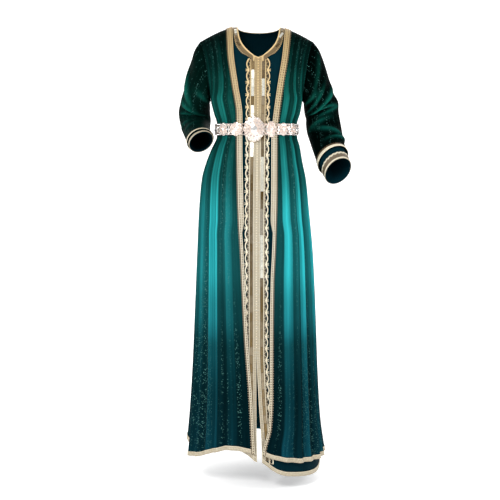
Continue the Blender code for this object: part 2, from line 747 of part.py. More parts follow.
def ornament(name, x, half_width_x, half_height, thickness, scallops, material):
    """A domed rosette with a scalloped rim, standing on the front of the belt."""
    side = LEFT if x > 0 else RIGHT
    angle = angle_of_x(side, x, BELT_DROP)
    normal = base_normal(side, FRONT, angle, BELT_DROP)
    normal.z = 0.0
    normal.normalize()
    base = base_point(side, FRONT, angle, BELT_DROP) + normal * (BELT_OUT + BELT_STRAP + SEAM)
    across = Vector((0.0, 0.0, 1.0)).cross(normal).normalized()
    steps = 2 * scallops
    bm = bmesh.new()
    rings = []
    for share, height in ORNAMENT_PROFILE:
        ring = []
        for step in range(steps):
            turn = 2.0 * math.pi * step / steps
            radius = share * (1.0 - (SCALLOP_DEPTH if step % 2 and share == 1.0 else 0.0))
            ring.append(bm.verts.new(base + across * half_width_x * radius * math.cos(turn)
                                     + Vector((0.0, 0.0, half_height * radius * math.sin(turn)))
                                     + normal * thickness * height))
        rings.append(ring)
    for low, high in zip(rings, rings[1:]):
        for step in range(steps):
            beside = (step + 1) % steps
            bm.faces.new((low[step], low[beside], high[beside], high[step]))
    bm.faces.new(rings[0][::-1])
    bm.faces.new(rings[-1])
    bmesh.ops.recalc_face_normals(bm, faces=bm.faces)
    return object_from(name, bm, material)


def finish(name, colour, roughness, metallic=0.0, sheen=0.0):
    material = bpy.data.materials.new(name)
    material.use_nodes = True
    shader = material.node_tree.nodes["Principled BSDF"]
    shader.inputs["Base Color"].default_value = (*colour, 1.0)
    shader.inputs["Roughness"].default_value = roughness
    shader.inputs["Metallic"].default_value = metallic
    shader.inputs["Sheen Weight"].default_value = sheen
    return material


def clear_scene():
    for item in list(bpy.data.objects):
        bpy.data.objects.remove(item, do_unlink=True)
    collection = bpy.data.collections.new("silk_kaftan")
    bpy.context.scene.collection.children.link(collection)


def with_directions(rows, closed=False):
    return rows, wall_directions(rows, closed)


def make_sleeve(names, table, loop, side, inset_table, cuff_share, silk, gold):
    """A sleeve that starts on the armhole's own points, and the braid at its wrist."""
    sleeve_name, cuff_name = names
    edge, edge_ways = loop
    rings = sleeve_rings(table, edge, side, inset_table, len(edge))
    cuff_start = [a.lerp(b, 1.0 - cuff_share) for a, b in zip(rings[-2], rings[-1])]
    rings.insert(-1, cuff_start)
    ways = wall_directions(rings, True)
    ways[0] = [over if over.dot(own) > SHARED_EDGE else own for over, own in zip(edge_ways, ways[0])]
    sheet(sleeve_name, rings, SILK, silk(sleeve_name), True, ways)
    braid_on(cuff_name, (rings, ways), slice(-2, None), slice(None), gold(cuff_name), True)


def make_over_kaftan(silk, gold):
    """Five striped silk panels with their braids."""
    back = with_directions(over_back_points())
    sheet("over_back", back[0], SILK, silk("over_back"), ways=back[1])
    hem_rows = slice(-2, None)
    braid_on("over_hem_back", back, hem_rows, slice(None), gold("over_hem_back"))
    for side, word, table in ((RIGHT, "right", SLEEVE_RIGHT), (LEFT, "left", SLEEVE_LEFT)):
        front = with_directions(over_front_points(side))
        sheet("over_front_" + word, front[0], SILK, silk("over_front_" + word), ways=front[1])
        hem_name = "over_hem_" + word
        braid_on(hem_name, front, hem_rows, slice(EDGE_COLUMNS, None), gold(hem_name))
        make_front_braids(side, word, gold)
        loop = [armhole_loop(front[k], back[k], side) for k in (0, 1)]
        names = ("over_sleeve_" + word, "over_cuff_" + word)
        make_sleeve(names, table[:-1], loop, side, None, CUFF_BRAID_SHARE, silk, gold)
    both = GALLOON + SECOND_BRAID
    band = neck_back_points(OVER_NECK_HALF, OVER_NECK_DROP, OVER_NECK_HALF + both,
                            OVER_NECK_DROP + NECK_GALLOON_DROP, lambda drop: 0.0)
    sheet("galloon_neck", band[0], BRAID, gold("galloon_neck"), ways=band[1])


def make_front_braids(side, word, gold):
    """The galloon from shoulder to hem and the second braid beside it."""
    second_end = 1 + ROW_DROPS.index(SECOND_BRAID_END)
    rows = len(ROW_DROPS) + len(ROWS_ABOVE_HEM)

    def outer_start(drop):
        return SECOND_BRAID * (1.0 - smooth_step((drop - SECOND_BRAID_END) / STEP_LENGTH)) + SEAM

    galloon = over_strip(side, outer_start, GALLOON - SEAM, rows)
    sheet("galloon_" + word, galloon[0], BRAID, gold("galloon_" + word), ways=galloon[1])
    braid = over_strip(side, lambda drop: 0.0, SECOND_BRAID - SEAM, second_end)
    sheet("braid_" + word, braid[0], BRAID, gold("braid_" + word), ways=braid[1])


def make_under_kaftan(plain, gold, brown, mirror):
    """Five plain silk panels with the neck band and the strips of the centre front."""
    back = with_directions(under_back_points())
    sheet("under_back", back[0], SILK, plain("under_back"), ways=back[1])
    hem_rows = slice(-2, None)
    braid_on("under_hem_back", back, hem_rows, slice(None), gold("under_hem_back"))
    strips = (("centre_band_", 0, 0, gold), ("mirror_strip_", 1, 1, mirror), ("picot_braid_", 2, 1, gold))
    for side, word, table in ((RIGHT, "right", SLEEVE_RIGHT), (LEFT, "left", SLEEVE_LEFT)):
        front = with_directions(under_front_points(side))
        sheet("under_front_" + word, front[0], SILK, plain("under_front_" + word), ways=front[1])
        for name, line, top, make in strips:
            name += word
            braid_on(name, front, slice(top, None), slice(line, line + 2), make(name))
        hem_name = "under_hem_" + word
        braid_on(hem_name, front, hem_rows, slice(TRIM_LINES, None), gold(hem_name))
        band_name = "neck_band_" + word
        band = neck_band_points(side)
        sheet(band_name, band[0], BRAID, brown(band_name), ways=band[1])
        loop = [armhole_loop(front[k], back[k], side) for k in (0, 1)]
        names = ("under_sleeve_" + word, "under_cuff_" + word)
        make_sleeve(names, table, loop, side, SLEEVE_INSET, UNDER_CUFF_SHARE, plain, gold)
    band = neck_back_points(NECK_BACK_HALF, NECK_BACK_DROP, NECK_BACK_HALF + NECK_BAND_BACK,
                            NECK_BACK_DROP + NECK_BAND_BACK, under_gap)
    sheet("neck_band_back", band[0], BRAID, brown("neck_band_back"), ways=band[1])


def make_belt(metal, stone):
    sheet("belt_strap", belt_points(BELT_COLUMNS), BELT_STRAP, metal("belt_strap"), closed=True)
    for name, x, half_x, half_height, thickness, scallops in ORNAMENTS:
        ornament(name, x, half_x, half_height, thickness, scallops, stone(name))


def main():
    clear_scene()

    def striped_silk(name):
        return finish("striped_silk_" + name, (0.012, 0.165, 0.150), 0.38, sheen=0.3)

    def plain_silk(name):
        return finish("plain_silk_" + name, (0.004, 0.020, 0.038), 0.50, sheen=0.1)

    def gold_braid(name):
        return finish("gold_braid_" + name, (0.700, 0.560, 0.300), 0.42, metallic=0.6)

    def brown_gold(name):
        return finish("brown_gold_" + name, (0.330, 0.220, 0.080), 0.40, metallic=0.6)

    def bar_mirror(name):
        return finish("bar_mirror_" + name, (0.620, 0.520, 0.330), 0.12, metallic=0.9)

    def belt_metal(name):
        return finish("belt_metal_" + name, (0.800, 0.620, 0.460), 0.30, metallic=0.8)

    make_over_kaftan(striped_silk, gold_braid)
    make_under_kaftan(plain_silk, gold_braid, brown_gold, bar_mirror)
    make_belt(belt_metal, belt_metal)


main()
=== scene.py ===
# %% [markdown]
# # A two-layer silk kaftan with its jewelled belt
# A long festive kaftan is really two garments worn as one: a plain dark silk one
# underneath, and over it an open one of striped silk. Metallic braids cover every
# edge, and a jewelled belt holds both at the waist. The garment is shown as it is
# worn, but hollow, so each cloth is modelled as a thin bent sheet and never as a block.
# First the imported CAD model comes in as a fixed frame. The finished garment has to
# stay inside it.

import math

import bpy
import numpy as np
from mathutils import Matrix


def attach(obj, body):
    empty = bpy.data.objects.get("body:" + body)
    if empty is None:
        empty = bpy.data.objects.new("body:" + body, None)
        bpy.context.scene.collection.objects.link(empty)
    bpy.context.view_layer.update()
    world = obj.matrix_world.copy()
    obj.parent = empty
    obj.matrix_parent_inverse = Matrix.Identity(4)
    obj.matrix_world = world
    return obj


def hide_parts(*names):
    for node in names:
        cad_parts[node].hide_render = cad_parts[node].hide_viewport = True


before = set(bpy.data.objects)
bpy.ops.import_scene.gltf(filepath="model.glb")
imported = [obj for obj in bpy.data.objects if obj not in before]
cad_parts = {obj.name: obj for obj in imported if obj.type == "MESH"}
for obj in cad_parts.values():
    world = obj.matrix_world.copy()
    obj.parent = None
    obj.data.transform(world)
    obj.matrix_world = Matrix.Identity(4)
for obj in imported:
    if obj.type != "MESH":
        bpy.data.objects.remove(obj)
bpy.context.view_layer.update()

RIGHT, LEFT = -1, 1
FRONT, BACK = -1, 1
SIDES = ((RIGHT, "right"), (LEFT, "left"))

# %% [markdown]
# ## The camera
# The picture is taken from in front, a little above the waist, with a long lens. A
# small sideways shift puts the garment where it stands in the picture, and no depth
# of field is used, so that every braid stays sharp.

# %% Camera
camera_data = bpy.data.cameras.new("camera")
CAMERA_TILT = 6.05
camera_data.lens = 66.6
camera_data.sensor_width = 36.0
camera_data.shift_x = -0.013
camera = bpy.data.objects.new("camera", camera_data)
camera.location = (0.0, -3.10, -0.408)
camera.rotation_euler = (math.radians(90.0 - CAMERA_TILT), 0.0, 0.0)
bpy.context.scene.collection.objects.link(camera)
bpy.context.scene.camera = camera

# %% [markdown]
# ## The body surface
# Both layers follow one surface, the shape that the cloth takes on a general figure:
# half an oval in front and half behind, whose width and depth change on the way down.
# The tables hold the same sizes as the CAD model. "drop" is the distance below the
# shoulder line, and all sizes are metres. Reading a table with a smooth curve gives as
# many rows as a soft cloth needs from only a few measured heights.

# %% Tables of the body surface
ROUNDNESS = 2.3
YOKE_DROP = 0.24
SHOULDER_START, SHOULDER_SPAN, SHOULDER_FALL, SHOULDER_CURVE = 0.072, 0.113, 0.048, 1.4

# drop, right half width, left half width, front depth, back depth, armhole share
BODY = (
    (0.000, 0.185, 0.185, 0.000, 0.000, 0.50),
    (0.005, 0.183, 0.183, 0.020, 0.020, 0.50),
    (0.018, 0.179, 0.179, 0.044, 0.042, 0.53),
    (0.042, 0.174, 0.174, 0.068, 0.060, 0.57),
    (0.075, 0.168, 0.168, 0.090, 0.075, 0.60),
    (0.120, 0.162, 0.162, 0.110, 0.088, 0.60),
    (0.165, 0.157, 0.157, 0.121, 0.096, 0.50),
    (0.208, 0.153, 0.153, 0.124, 0.098, 0.28),
    (0.240, 0.150, 0.150, 0.122, 0.097, 0.00),
    (0.280, 0.140, 0.143, 0.113, 0.092, 0.00),
    (0.315, 0.131, 0.134, 0.106, 0.089, 0.00),
    (0.357, 0.131, 0.134, 0.106, 0.089, 0.00),
    (0.395, 0.145, 0.142, 0.113, 0.106, 0.00),
    (0.440, 0.161, 0.149, 0.122, 0.122, 0.00),
    (0.500, 0.175, 0.160, 0.131, 0.136, 0.00),
    (0.600, 0.182, 0.169, 0.139, 0.146, 0.00),
    (0.750, 0.187, 0.182, 0.148, 0.153, 0.00),
    (0.950, 0.194, 0.191, 0.158, 0.160, 0.00),
    (1.150, 0.202, 0.198, 0.168, 0.168, 0.00),
    (1.300, 0.211, 0.206, 0.178, 0.176, 0.00),
    (1.440, 0.224, 0.224, 0.190, 0.186, 0.00),
)


def read_table(table, column, at):
    """A column of a table at many places, along a smooth curve that never overshoots."""
    xs = np.array([row[0] for row in table], float)
    ys = np.array([row[column] for row in table], float)
    at = np.clip(np.asarray(at, float), xs[0], xs[-1])
    slope = np.diff(ys) / np.diff(xs)
    tangent = np.zeros_like(ys)
    tangent[0], tangent[-1] = slope[0], slope[-1]
    before, after = slope[:-1], slope[1:]
    same = before * after > 0.0
    total = np.where(same, before + after, 1.0)
    tangent[1:-1] = np.where(same, 2.0 * before * after / total, 0.0)
    i = np.clip(np.searchsorted(xs, at, side="left") - 1, 0, len(xs) - 2)
    span = xs[i + 1] - xs[i]
    t = (at - xs[i]) / span
    return ((1 + 2 * t) * (1 - t) ** 2 * ys[i] + t * (1 - t) ** 2 * span * tangent[i]
            + t * t * (3 - 2 * t) * ys[i + 1] - t * t * (1 - t) * span * tangent[i + 1])


def ease(t):
    """A soft step from 0 to 1."""
    t = np.clip(t, 0.0, 1.0)
    return t * t * (3.0 - 2.0 * t)


# %% [markdown]
# A place on the surface is given by an angle, 0 at the centre front or back and a
# right angle at the side, and a drop. The direction out of the cloth comes from two
# small steps along the surface, and lets a braid lie on the silk at any distance.

# %% Points on the body surface
def half_width(side, drop):
    edge = np.where(np.asarray(side) < 0, read_table(BODY, 1, drop), read_table(BODY, 2, drop))
    share = read_table(BODY, 5, drop)
    return edge / (1.0 - share ** ROUNDNESS) ** (1.0 / ROUNDNESS)


def edge_angle(drop):
    """Where a panel ends: at the armhole, and at the side seam below it."""
    return np.arccos(np.clip(read_table(BODY, 5, drop), 0.0, 1.0) ** (ROUNDNESS / 2.0))


def angle_of_x(side, x, drop):
    across = np.minimum(np.abs(x) / half_width(side, drop), 1.0)
    return np.arcsin(across ** (ROUNDNESS / 2.0))


def body_point(side, face, angle, drop):
    power = 2.0 / ROUNDNESS
    x = side * half_width(side, drop) * np.sin(np.clip(angle, 0.0, math.pi / 2)) ** power
    depth = read_table(BODY, 3 if face == FRONT else 4, drop)
    y = face * depth * np.clip(np.cos(angle), 0.0, 1.0) ** power
    beyond = np.maximum(0.0, np.abs(x) - SHOULDER_START) / SHOULDER_SPAN
    fall = SHOULDER_FALL * beyond ** SHOULDER_CURVE * (1.0 - ease(drop / YOKE_DROP))
    return np.stack(np.broadcast_arrays(x, y, -drop - fall), -1)


def unit(vectors):
    length = np.linalg.norm(vectors, axis=-1, keepdims=True)
    return vectors / np.maximum(length, 1e-12)


def body_out(side, face, angle, drop):
    """The direction out of the surface."""
    step, fall = 0.01, 0.001
    before = body_point(side, face, np.maximum(angle - step, 0.0), drop)
    after = body_point(side, face, np.minimum(angle + step, math.pi / 2), drop)
    above = body_point(side, face, angle, np.maximum(drop - fall, 0.0))
    below = body_point(side, face, angle, drop + fall)
    way = unit(np.cross(after - before, below - above))
    sign = np.broadcast_to(np.sign(np.asarray(side) * face), way.shape[:-1])
    way = way * sign[..., None]
    top = np.broadcast_to(np.asarray(drop) < 1e-6, way.shape[:-1])
    return np.where(top[..., None], np.array([0.0, 0.0, 1.0]), way)


def on_body(side, face, x, drop, out):
    """A place given by its x and drop, moved out from the surface, and the way out there."""
    x, drop = np.broadcast_arrays(np.asarray(x, float), np.asarray(drop, float))
    side = np.where(x * side >= 0.0, side, -side)
    angle = angle_of_x(side, x, drop)
    way = body_out(side, face, angle, drop)
    return body_point(side, face, angle, drop) + np.asarray(out)[..., None] * way, way


# %% [markdown]
# ## Making a sheet of cloth
# Every cloth starts as a grid primitive whose vertices are moved to their places. The
# UV map holds metres along and across the cloth, so that stripes and weave keep their
# real size. Solidify then gives the sheet its thickness, and is applied. A sleeve is
# the same grid rolled up and welded along its seam.

# %% Cloth helpers
THREAD_UV = "UVMap"


def deselect():
    bpy.ops.object.select_all(action="DESELECT")


def make_active(piece):
    deselect()
    piece.select_set(True)
    bpy.context.view_layer.objects.active = piece


def shaped_grid(name, points, uv):
    """A grid primitive moved to rows of points, with its UV map in metres."""
    rows, columns = points.shape[:2]
    deselect()
    bpy.ops.mesh.primitive_grid_add(x_subdivisions=columns - 1, y_subdivisions=rows - 1, size=1.0,
                                    calc_uvs=True)
    piece = bpy.context.object
    piece.name = piece.data.name = name
    mesh = piece.data
    mesh.vertices.foreach_set("co", points.reshape(-1).astype(float))
    corner = np.empty(len(mesh.loops), np.int32)
    mesh.loops.foreach_get("vertex_index", corner)
    layer = mesh.uv_layers.active
    layer.name = THREAD_UV
    layer.data.foreach_set("uv", uv.reshape(-1, 2)[corner].reshape(-1).astype(float))
    mesh.update()
    return piece


def face_out(piece, ways):
    """Turn the faces of an open sheet so that they look along the given directions."""
    mesh = piece.data
    normals = np.empty(len(mesh.vertices) * 3)
    mesh.vertices.foreach_get("normal", normals)
    if (normals.reshape(-1, 3) * ways.reshape(-1, 3)).sum() < 0.0:
        mesh.flip_normals()


def add_attribute(piece, label, values):
    layer = piece.data.attributes.new(label, "FLOAT", "POINT")
    layer.data.foreach_set("value", np.ascontiguousarray(values, float).reshape(-1))


def edit_all(operator, **settings):
    """Run a mesh operator on the whole of the active piece."""
    bpy.ops.object.mode_set(mode="EDIT")
    bpy.ops.mesh.select_all(action="SELECT")
    operator(**settings)
    bpy.ops.object.mode_set(mode="OBJECT")


def cloth(name, points, ways, uv, wall, material, rolled=False, ridge_highlight=None):
    """A thin wall through rows of points of its outer side; the ridge mask, where given, places
    the painted highlight on its ridges.
    """
    piece = shaped_grid(name, points, uv)
    if ridge_highlight is not None:
        add_attribute(piece, "ridge_highlight", ridge_highlight)
    face_out(piece, ways)
    make_active(piece)
    if rolled:
        edit_all(bpy.ops.mesh.remove_doubles, threshold=1e-6)
    thick = piece.modifiers.new("thickness", "SOLIDIFY")
    thick.thickness = wall
    thick.offset = -1.0
    bpy.ops.object.modifier_apply(modifier=thick.name)
    bpy.ops.object.shade_smooth()
    piece.data.materials.clear()
    piece.data.materials.append(material)
    return piece


def grid_ways(points, rolled=False):
    """The direction out of each point of a grid, from its neighbours."""
    if rolled:
        around = np.concatenate([points[:, -2:-1], points, points[:, 1:2]], 1)
        across = (around[:, 2:] - around[:, :-2])
    else:
        across = np.gradient(points, axis=1)
    along = np.gradient(points, axis=0)
    return unit(np.cross(across, along))


def lengths_uv(points, width=None):
    """UV in metres: u grows across the sheet and v down it."""
    rows, columns = points.shape[:2]
    down = np.linalg.norm(np.diff(points, axis=0), axis=2).mean(1)
    v = np.concatenate([[0.0], np.cumsum(down)])
    if width is None:
        steps = np.linalg.norm(np.diff(points, axis=1), axis=2).mean(0)
        u = np.concatenate([[0.0], np.cumsum(steps)])
    else:
        u = np.linspace(0.0, width, columns)
    return np.stack(np.broadcast_arrays(u[None, :], v[:, None]), -1)


# %% [markdown]
# ## Colours and finishes
# Three effects are node groups: the fine plain weave of silk, the glitter thread of
# its sheer stripes, and the metal thread of a braid. A group puts out only masks and
# heights, and each material keeps its own Principled shader. A function reads height
# from the object's coordinates; with it the striped silk and the braids get painted
# light and shade down the garment, and the silk its change from green to blue.

# %% Node helpers
def add_node(tree, kind, **settings):
    node = tree.nodes.new(kind)
    for key, value in settings.items():
        if key.startswith("in_"):
            node.inputs[int(key[3:])].default_value = value
        else:
            setattr(node, key, value)
    return node


def calculate(tree, operation, first, second=None, clamp=False):
    """A Math node between two sockets or numbers."""
    node = add_node(tree, "ShaderNodeMath", operation=operation, use_clamp=clamp)
    for slot, value in ((0, first), (1, second)):
        if isinstance(value, (int, float)):
            node.inputs[slot].default_value = value
        elif value is not None:
            tree.links.new(value, node.inputs[slot])
    return node.outputs[0]


def times(tree, first, second, clamp=False):
    return calculate(tree, "MULTIPLY", first, second, clamp)


def plus(tree, first, second, clamp=False):
    return calculate(tree, "ADD", first, second, clamp)


def blend_colours(tree, factor, first, second, kind="MIX"):
    node = add_node(tree, "ShaderNodeMix", data_type="RGBA", blend_type=kind)
    for slot, value in ((0, factor), (6, first), (7, second)):
        if isinstance(value, (int, float)):
            node.inputs[slot].default_value = value
        elif isinstance(value, tuple):
            node.inputs[slot].default_value = (*value, 1.0)
        else:
            tree.links.new(value, node.inputs[slot])
    return node.outputs[2]


def new_group(name, inputs, outputs):
    """An empty shader group with float or vector inputs and float outputs."""
    tree = bpy.data.node_groups.new(name, "ShaderNodeTree")
    for label, kind, value in inputs:
        socket = tree.interface.new_socket(name=label, in_out="INPUT", socket_type=kind)
        if value is not None:
            socket.default_value = value
    for label in outputs:
        tree.interface.new_socket(name=label, in_out="OUTPUT", socket_type="NodeSocketFloat")
    return tree, tree.nodes.new("NodeGroupInput"), tree.nodes.new("NodeGroupOutput")


def use_group(tree, group, vector, **values):
    node = tree.nodes.new("ShaderNodeGroup")
    node.node_tree = group
    tree.links.new(vector, node.inputs["Thread"])
    for label, value in values.items():
        node.inputs[label.replace("_", " ")].default_value = value
    return node


# %% [markdown]
# The weave is two sets of fine waves at right angles, one for each thread direction.
# The glitter thread is a scatter of tiny cells, of which only the brightest few shine.

# %% Weave group
weave_group, group_in, group_out = new_group(
    "silk_weave",
    [("Thread", "NodeSocketVector", None), ("Threads per metre", "NodeSocketFloat", 1400.0)],
    ["Height", "Slub"])
tree = weave_group
parts = add_node(tree, "ShaderNodeSeparateXYZ")
tree.links.new(group_in.outputs["Thread"], parts.inputs[0])
waves = []
for axis in (0, 1):
    turns = times(tree, parts.outputs[axis], group_in.outputs["Threads per metre"])
    waves.append(calculate(tree, "SINE", times(tree, turns, 2.0 * math.pi)))
tree.links.new(times(tree, waves[0], waves[1]), group_out.inputs["Height"])
stretch = add_node(tree, "ShaderNodeMapping", in_3=(700.0, 40.0, 1.0))
tree.links.new(group_in.outputs["Thread"], stretch.inputs[0])
slub = add_node(tree, "ShaderNodeTexNoise", in_2=1.0, in_3=3.0)
tree.links.new(stretch.outputs[0], slub.inputs["Vector"])
tree.links.new(slub.outputs["Fac"], group_out.inputs["Slub"])

# %% [markdown]
# The over silk alternates a satin stripe with a sheer one that carries glitter. Each
# stripe's place and brightness differ, so a colour ramp across the panel draws them,
# and this group only adds the glitter: tiny metal flecks that gather in thin lines.

# %% Glitter group
glitter_group, group_in, group_out = new_group(
    "glitter_thread", [("Thread", "NodeSocketVector", None)], ["Glitter", "Streak"])
tree = glitter_group
cells = add_node(tree, "ShaderNodeMapping", in_3=(520.0, 300.0, 1.0))
tree.links.new(group_in.outputs["Thread"], cells.inputs[0])
sparkle = add_node(tree, "ShaderNodeTexVoronoi", in_2=1.0)
tree.links.new(cells.outputs[0], sparkle.inputs["Vector"])
picked = add_node(tree, "ShaderNodeSeparateColor")
tree.links.new(sparkle.outputs["Color"], picked.inputs[0])
bright = calculate(tree, "GREATER_THAN", picked.outputs[0], 0.72)
close = calculate(tree, "LESS_THAN", sparkle.outputs["Distance"], 0.42)
fleck = times(tree, bright, close)
lines = add_node(tree, "ShaderNodeMapping", in_3=(95.0, 1.3, 1.0))
tree.links.new(group_in.outputs["Thread"], lines.inputs[0])
gather = add_node(tree, "ShaderNodeTexNoise", in_2=1.0, in_3=2.0)
tree.links.new(lines.outputs[0], gather.inputs["Vector"])
dense = times(tree, calculate(tree, "SUBTRACT", gather.outputs["Fac"], 0.50), 7.0, clamp=True)
tree.links.new(times(tree, fleck, dense), group_out.inputs["Glitter"])
streaks = add_node(tree, "ShaderNodeMapping", in_3=(240.0, 2.2, 1.0))
tree.links.new(group_in.outputs["Thread"], streaks.inputs[0])
streak = add_node(tree, "ShaderNodeTexNoise", in_2=1.0, in_3=3.0)
tree.links.new(streaks.outputs[0], streak.inputs["Vector"])
tree.links.new(streak.outputs["Fac"], group_out.inputs["Streak"])

# %% [markdown]
# Braid is woven on a narrow loom: ribs run across it and a twill line along it. Its
# ribs are modelled too, so the group only adds the single metal threads between them.

# %% Braid group
braid_group, group_in, group_out = new_group(
    "metal_thread",
    [("Thread", "NodeSocketVector", None), ("Rib", "NodeSocketFloat", 0.0018)],
    ["Height", "Wear"])
tree = braid_group
parts = add_node(tree, "ShaderNodeSeparateXYZ")
tree.links.new(group_in.outputs["Thread"], parts.inputs[0])
slant = plus(tree, parts.outputs[1], times(tree, parts.outputs[0], 0.6))
rib = calculate(tree, "SINE", times(tree, calculate(
    tree, "DIVIDE", slant, group_in.outputs["Rib"]), 2.0 * math.pi))
cross = calculate(tree, "SINE", times(tree, calculate(
    tree, "DIVIDE", parts.outputs[0], group_in.outputs["Rib"]), 2.0 * math.pi))
tree.links.new(times(tree, plus(tree, rib, cross), 0.5),
               group_out.inputs["Height"])
wear = add_node(tree, "ShaderNodeTexNoise", in_2=160.0, in_3=4.0)
tree.links.new(group_in.outputs["Thread"], wear.inputs["Vector"])
tree.links.new(wear.outputs["Fac"], group_out.inputs["Wear"])


# %% [markdown]
# The striped silk: the satin stripe is a clear teal, the sheer one much darker, because
# the dark layer shows through it. A second ramp runs down the garment and paints light
# and shade into the colour: the yoke and the sleeves in painted shade, nearly black-green,
# the middle of the skirt painted bright as if lit, and its foot in painted shade again.
# The stripes fade where that ramp paints shade. A ridge attribute brightens the silk on
# its ridges: partly because it lies double there, away from the dark layer, and partly as
# a painted highlight. The silk turns from green at the yoke to blue at the hem. Strong
# reflections would grey a silk this dark, so they are kept low.

# %% Striped silk
def make_ramp(tree, source, stops, interpolation="LINEAR"):
    ramp = add_node(tree, "ShaderNodeValToRGB")
    ramp.color_ramp.interpolation = interpolation
    while len(ramp.color_ramp.elements) < len(stops):
        ramp.color_ramp.elements.new(0.5)
    for element, (place, value) in zip(ramp.color_ramp.elements, stops):
        element.position = min(max(place, 0.0), 1.0)
        element.color = (value, value, value, 1.0)
    tree.links.new(source, ramp.inputs[0])
    return ramp.outputs[0]


TONE_DEPTH = 1.5


def tone_down_garment(tree, stops):
    """A factor that changes with height, read from the object's own coordinates."""
    place = add_node(tree, "ShaderNodeTexCoord")
    parts = add_node(tree, "ShaderNodeSeparateXYZ")
    tree.links.new(place.outputs["Object"], parts.inputs[0])
    span = add_node(tree, "ShaderNodeMapRange", in_1=-TONE_DEPTH, in_2=0.0)
    tree.links.new(parts.outputs[2], span.inputs[0])
    return make_ramp(tree, span.outputs[0],
                     [((z + TONE_DEPTH) / TONE_DEPTH, value) for z, value in stops], "EASE")


def stripe_mask(tree, thread, stripes, width, soft=0.008):
    """How satin the silk is, from where each stripe starts and how bright it is."""
    parts = add_node(tree, "ShaderNodeSeparateXYZ")
    tree.links.new(thread, parts.inputs[0])
    share = calculate(tree, "DIVIDE", parts.outputs[0], width)
    stops, before = [], stripes[0][1]
    for start, value in stripes[1:]:
        stops += [(start - soft, before), (start + soft, value)]
        before = value
    return make_ramp(tree, share, stops)


def new_material(name):
    material = bpy.data.materials.new(name)
    material.use_nodes = True
    tree = material.node_tree
    shader = tree.nodes["Principled BSDF"]
    thread = add_node(tree, "ShaderNodeUVMap", uv_map=THREAD_UV)
    return material, tree, shader, thread.outputs[0]


def raise_surface(tree, shader, height, distance, strength=1.0):
    bump = add_node(tree, "ShaderNodeBump")
    bump.inputs["Strength"].default_value = strength
    bump.inputs["Distance"].default_value = distance
    tree.links.new(height, bump.inputs["Height"])
    tree.links.new(bump.outputs[0], shader.inputs["Normal"])


# Painted light and shade by height: the middle of the skirt painted bright, the yoke, the sleeves
# and the foot of the skirt painted in shade.
GARMENT_PAINTED_LIGHT = ((-1.48, 0.25), (-1.36, 0.18), (-1.22, 0.17), (-1.05, 0.26), (-0.92, 0.62),
                (-0.78, 1.0), (-0.62, 1.0), (-0.46, 0.50), (-0.36, 0.34), (-0.27, 0.42),
                (-0.18, 0.26), (-0.12, 0.14), (-0.02, 0.05))
SLEEVE_PAINTED_LIGHT = ((-0.55, 0.22), (-0.36, 0.17), (-0.26, 0.17), (-0.12, 0.11), (-0.04, 0.06))
SATIN = (0.022, 0.330, 0.345)
SHEER = (0.0060, 0.0680, 0.0690)
PANEL_WIDTH = 0.186


def striped_silk(name, stripes, width, tone=GARMENT_PAINTED_LIGHT, satin=SATIN, sheer=SHEER,
                 highlight_gain=0.75, highlight_floor=0.80):
    material, tree, shader, thread = new_material(name)
    # The height ramp paints light and shade; where it paints shade the satin stripes fade.
    painted_light_by_height = tone_down_garment(tree, tone)
    fade = plus(tree, times(tree, painted_light_by_height, 2.6), 0.05, clamp=True)
    mask = times(tree, stripe_mask(tree, thread, stripes, width), fade)
    glitter = use_group(tree, glitter_group, thread)
    weave = use_group(tree, weave_group, thread, Threads_per_metre=1400.0)
    base = blend_colours(tree, mask, sheer, satin)
    streak = plus(tree, times(tree, glitter.outputs["Streak"], 1.1), 0.45)
    # Painted highlight on the ridges of folds and creases, partly also the silk lying double
    # there; the troughs get painted shade below the floor value.
    ridge_highlight = add_node(tree, "ShaderNodeAttribute", attribute_name="ridge_highlight")
    ridge = plus(tree, times(tree, ridge_highlight.outputs["Fac"], highlight_gain), highlight_floor)
    change = times(tree, times(tree, streak, ridge), painted_light_by_height)
    depth = tone_down_garment(tree, ((-1.45, 1.0), (-0.75, 0.45), (-0.15, 0.0)))
    tint = blend_colours(tree, depth, (0.90, 1.0, 0.80), (1.0, 0.90, 1.22))
    tinted = blend_colours(tree, 1.0, base, tint, "MULTIPLY")
    toned = blend_colours(tree, 1.0, tinted, change, "MULTIPLY")
    plain = calculate(tree, "SUBTRACT", 1.0, mask, clamp=True)
    flecks = times(tree, times(tree, glitter.outputs["Glitter"], plain), 0.55)
    tree.links.new(blend_colours(tree, flecks, toned, (0.13, 0.36, 0.32)),
                   shader.inputs["Base Color"])
    rough = calculate(tree, "SUBTRACT", 0.55, times(tree, mask, 0.20))
    tree.links.new(rough, shader.inputs["Roughness"])
    shader.inputs["Specular IOR Level"].default_value = 0.004
    shader.inputs["Specular Tint"].default_value = (0.10, 0.90, 0.95, 1.0)
    raise_surface(tree, shader, weave.outputs["Height"], 0.00012, 0.5)
    return material


# where a stripe starts, as a share of the panel from its free edge, and how satin it is
RIGHT_STRIPES = ((0.0, 0.0), (0.150, 0.36), (0.235, 0.0), (0.355, 1.0), (0.510, 0.06),
                 (0.640, 0.55), (0.740, 0.02), (0.860, 0.50), (0.950, 0.05))
LEFT_STRIPES = ((0.0, 0.0), (0.175, 0.90), (0.315, 0.03), (0.455, 1.0), (0.540, 0.10),
                (0.730, 0.70), (0.810, 0.05), (0.930, 0.35))
BACK_STRIPES = tuple((0.071 * k, (0.05, 0.9, 0.0, 0.5)[k % 4]) for k in range(15))
SLEEVE_STRIPES = tuple((0.083 * k, (0.0, 0.8, 0.1, 0.45)[k % 4]) for k in range(13))
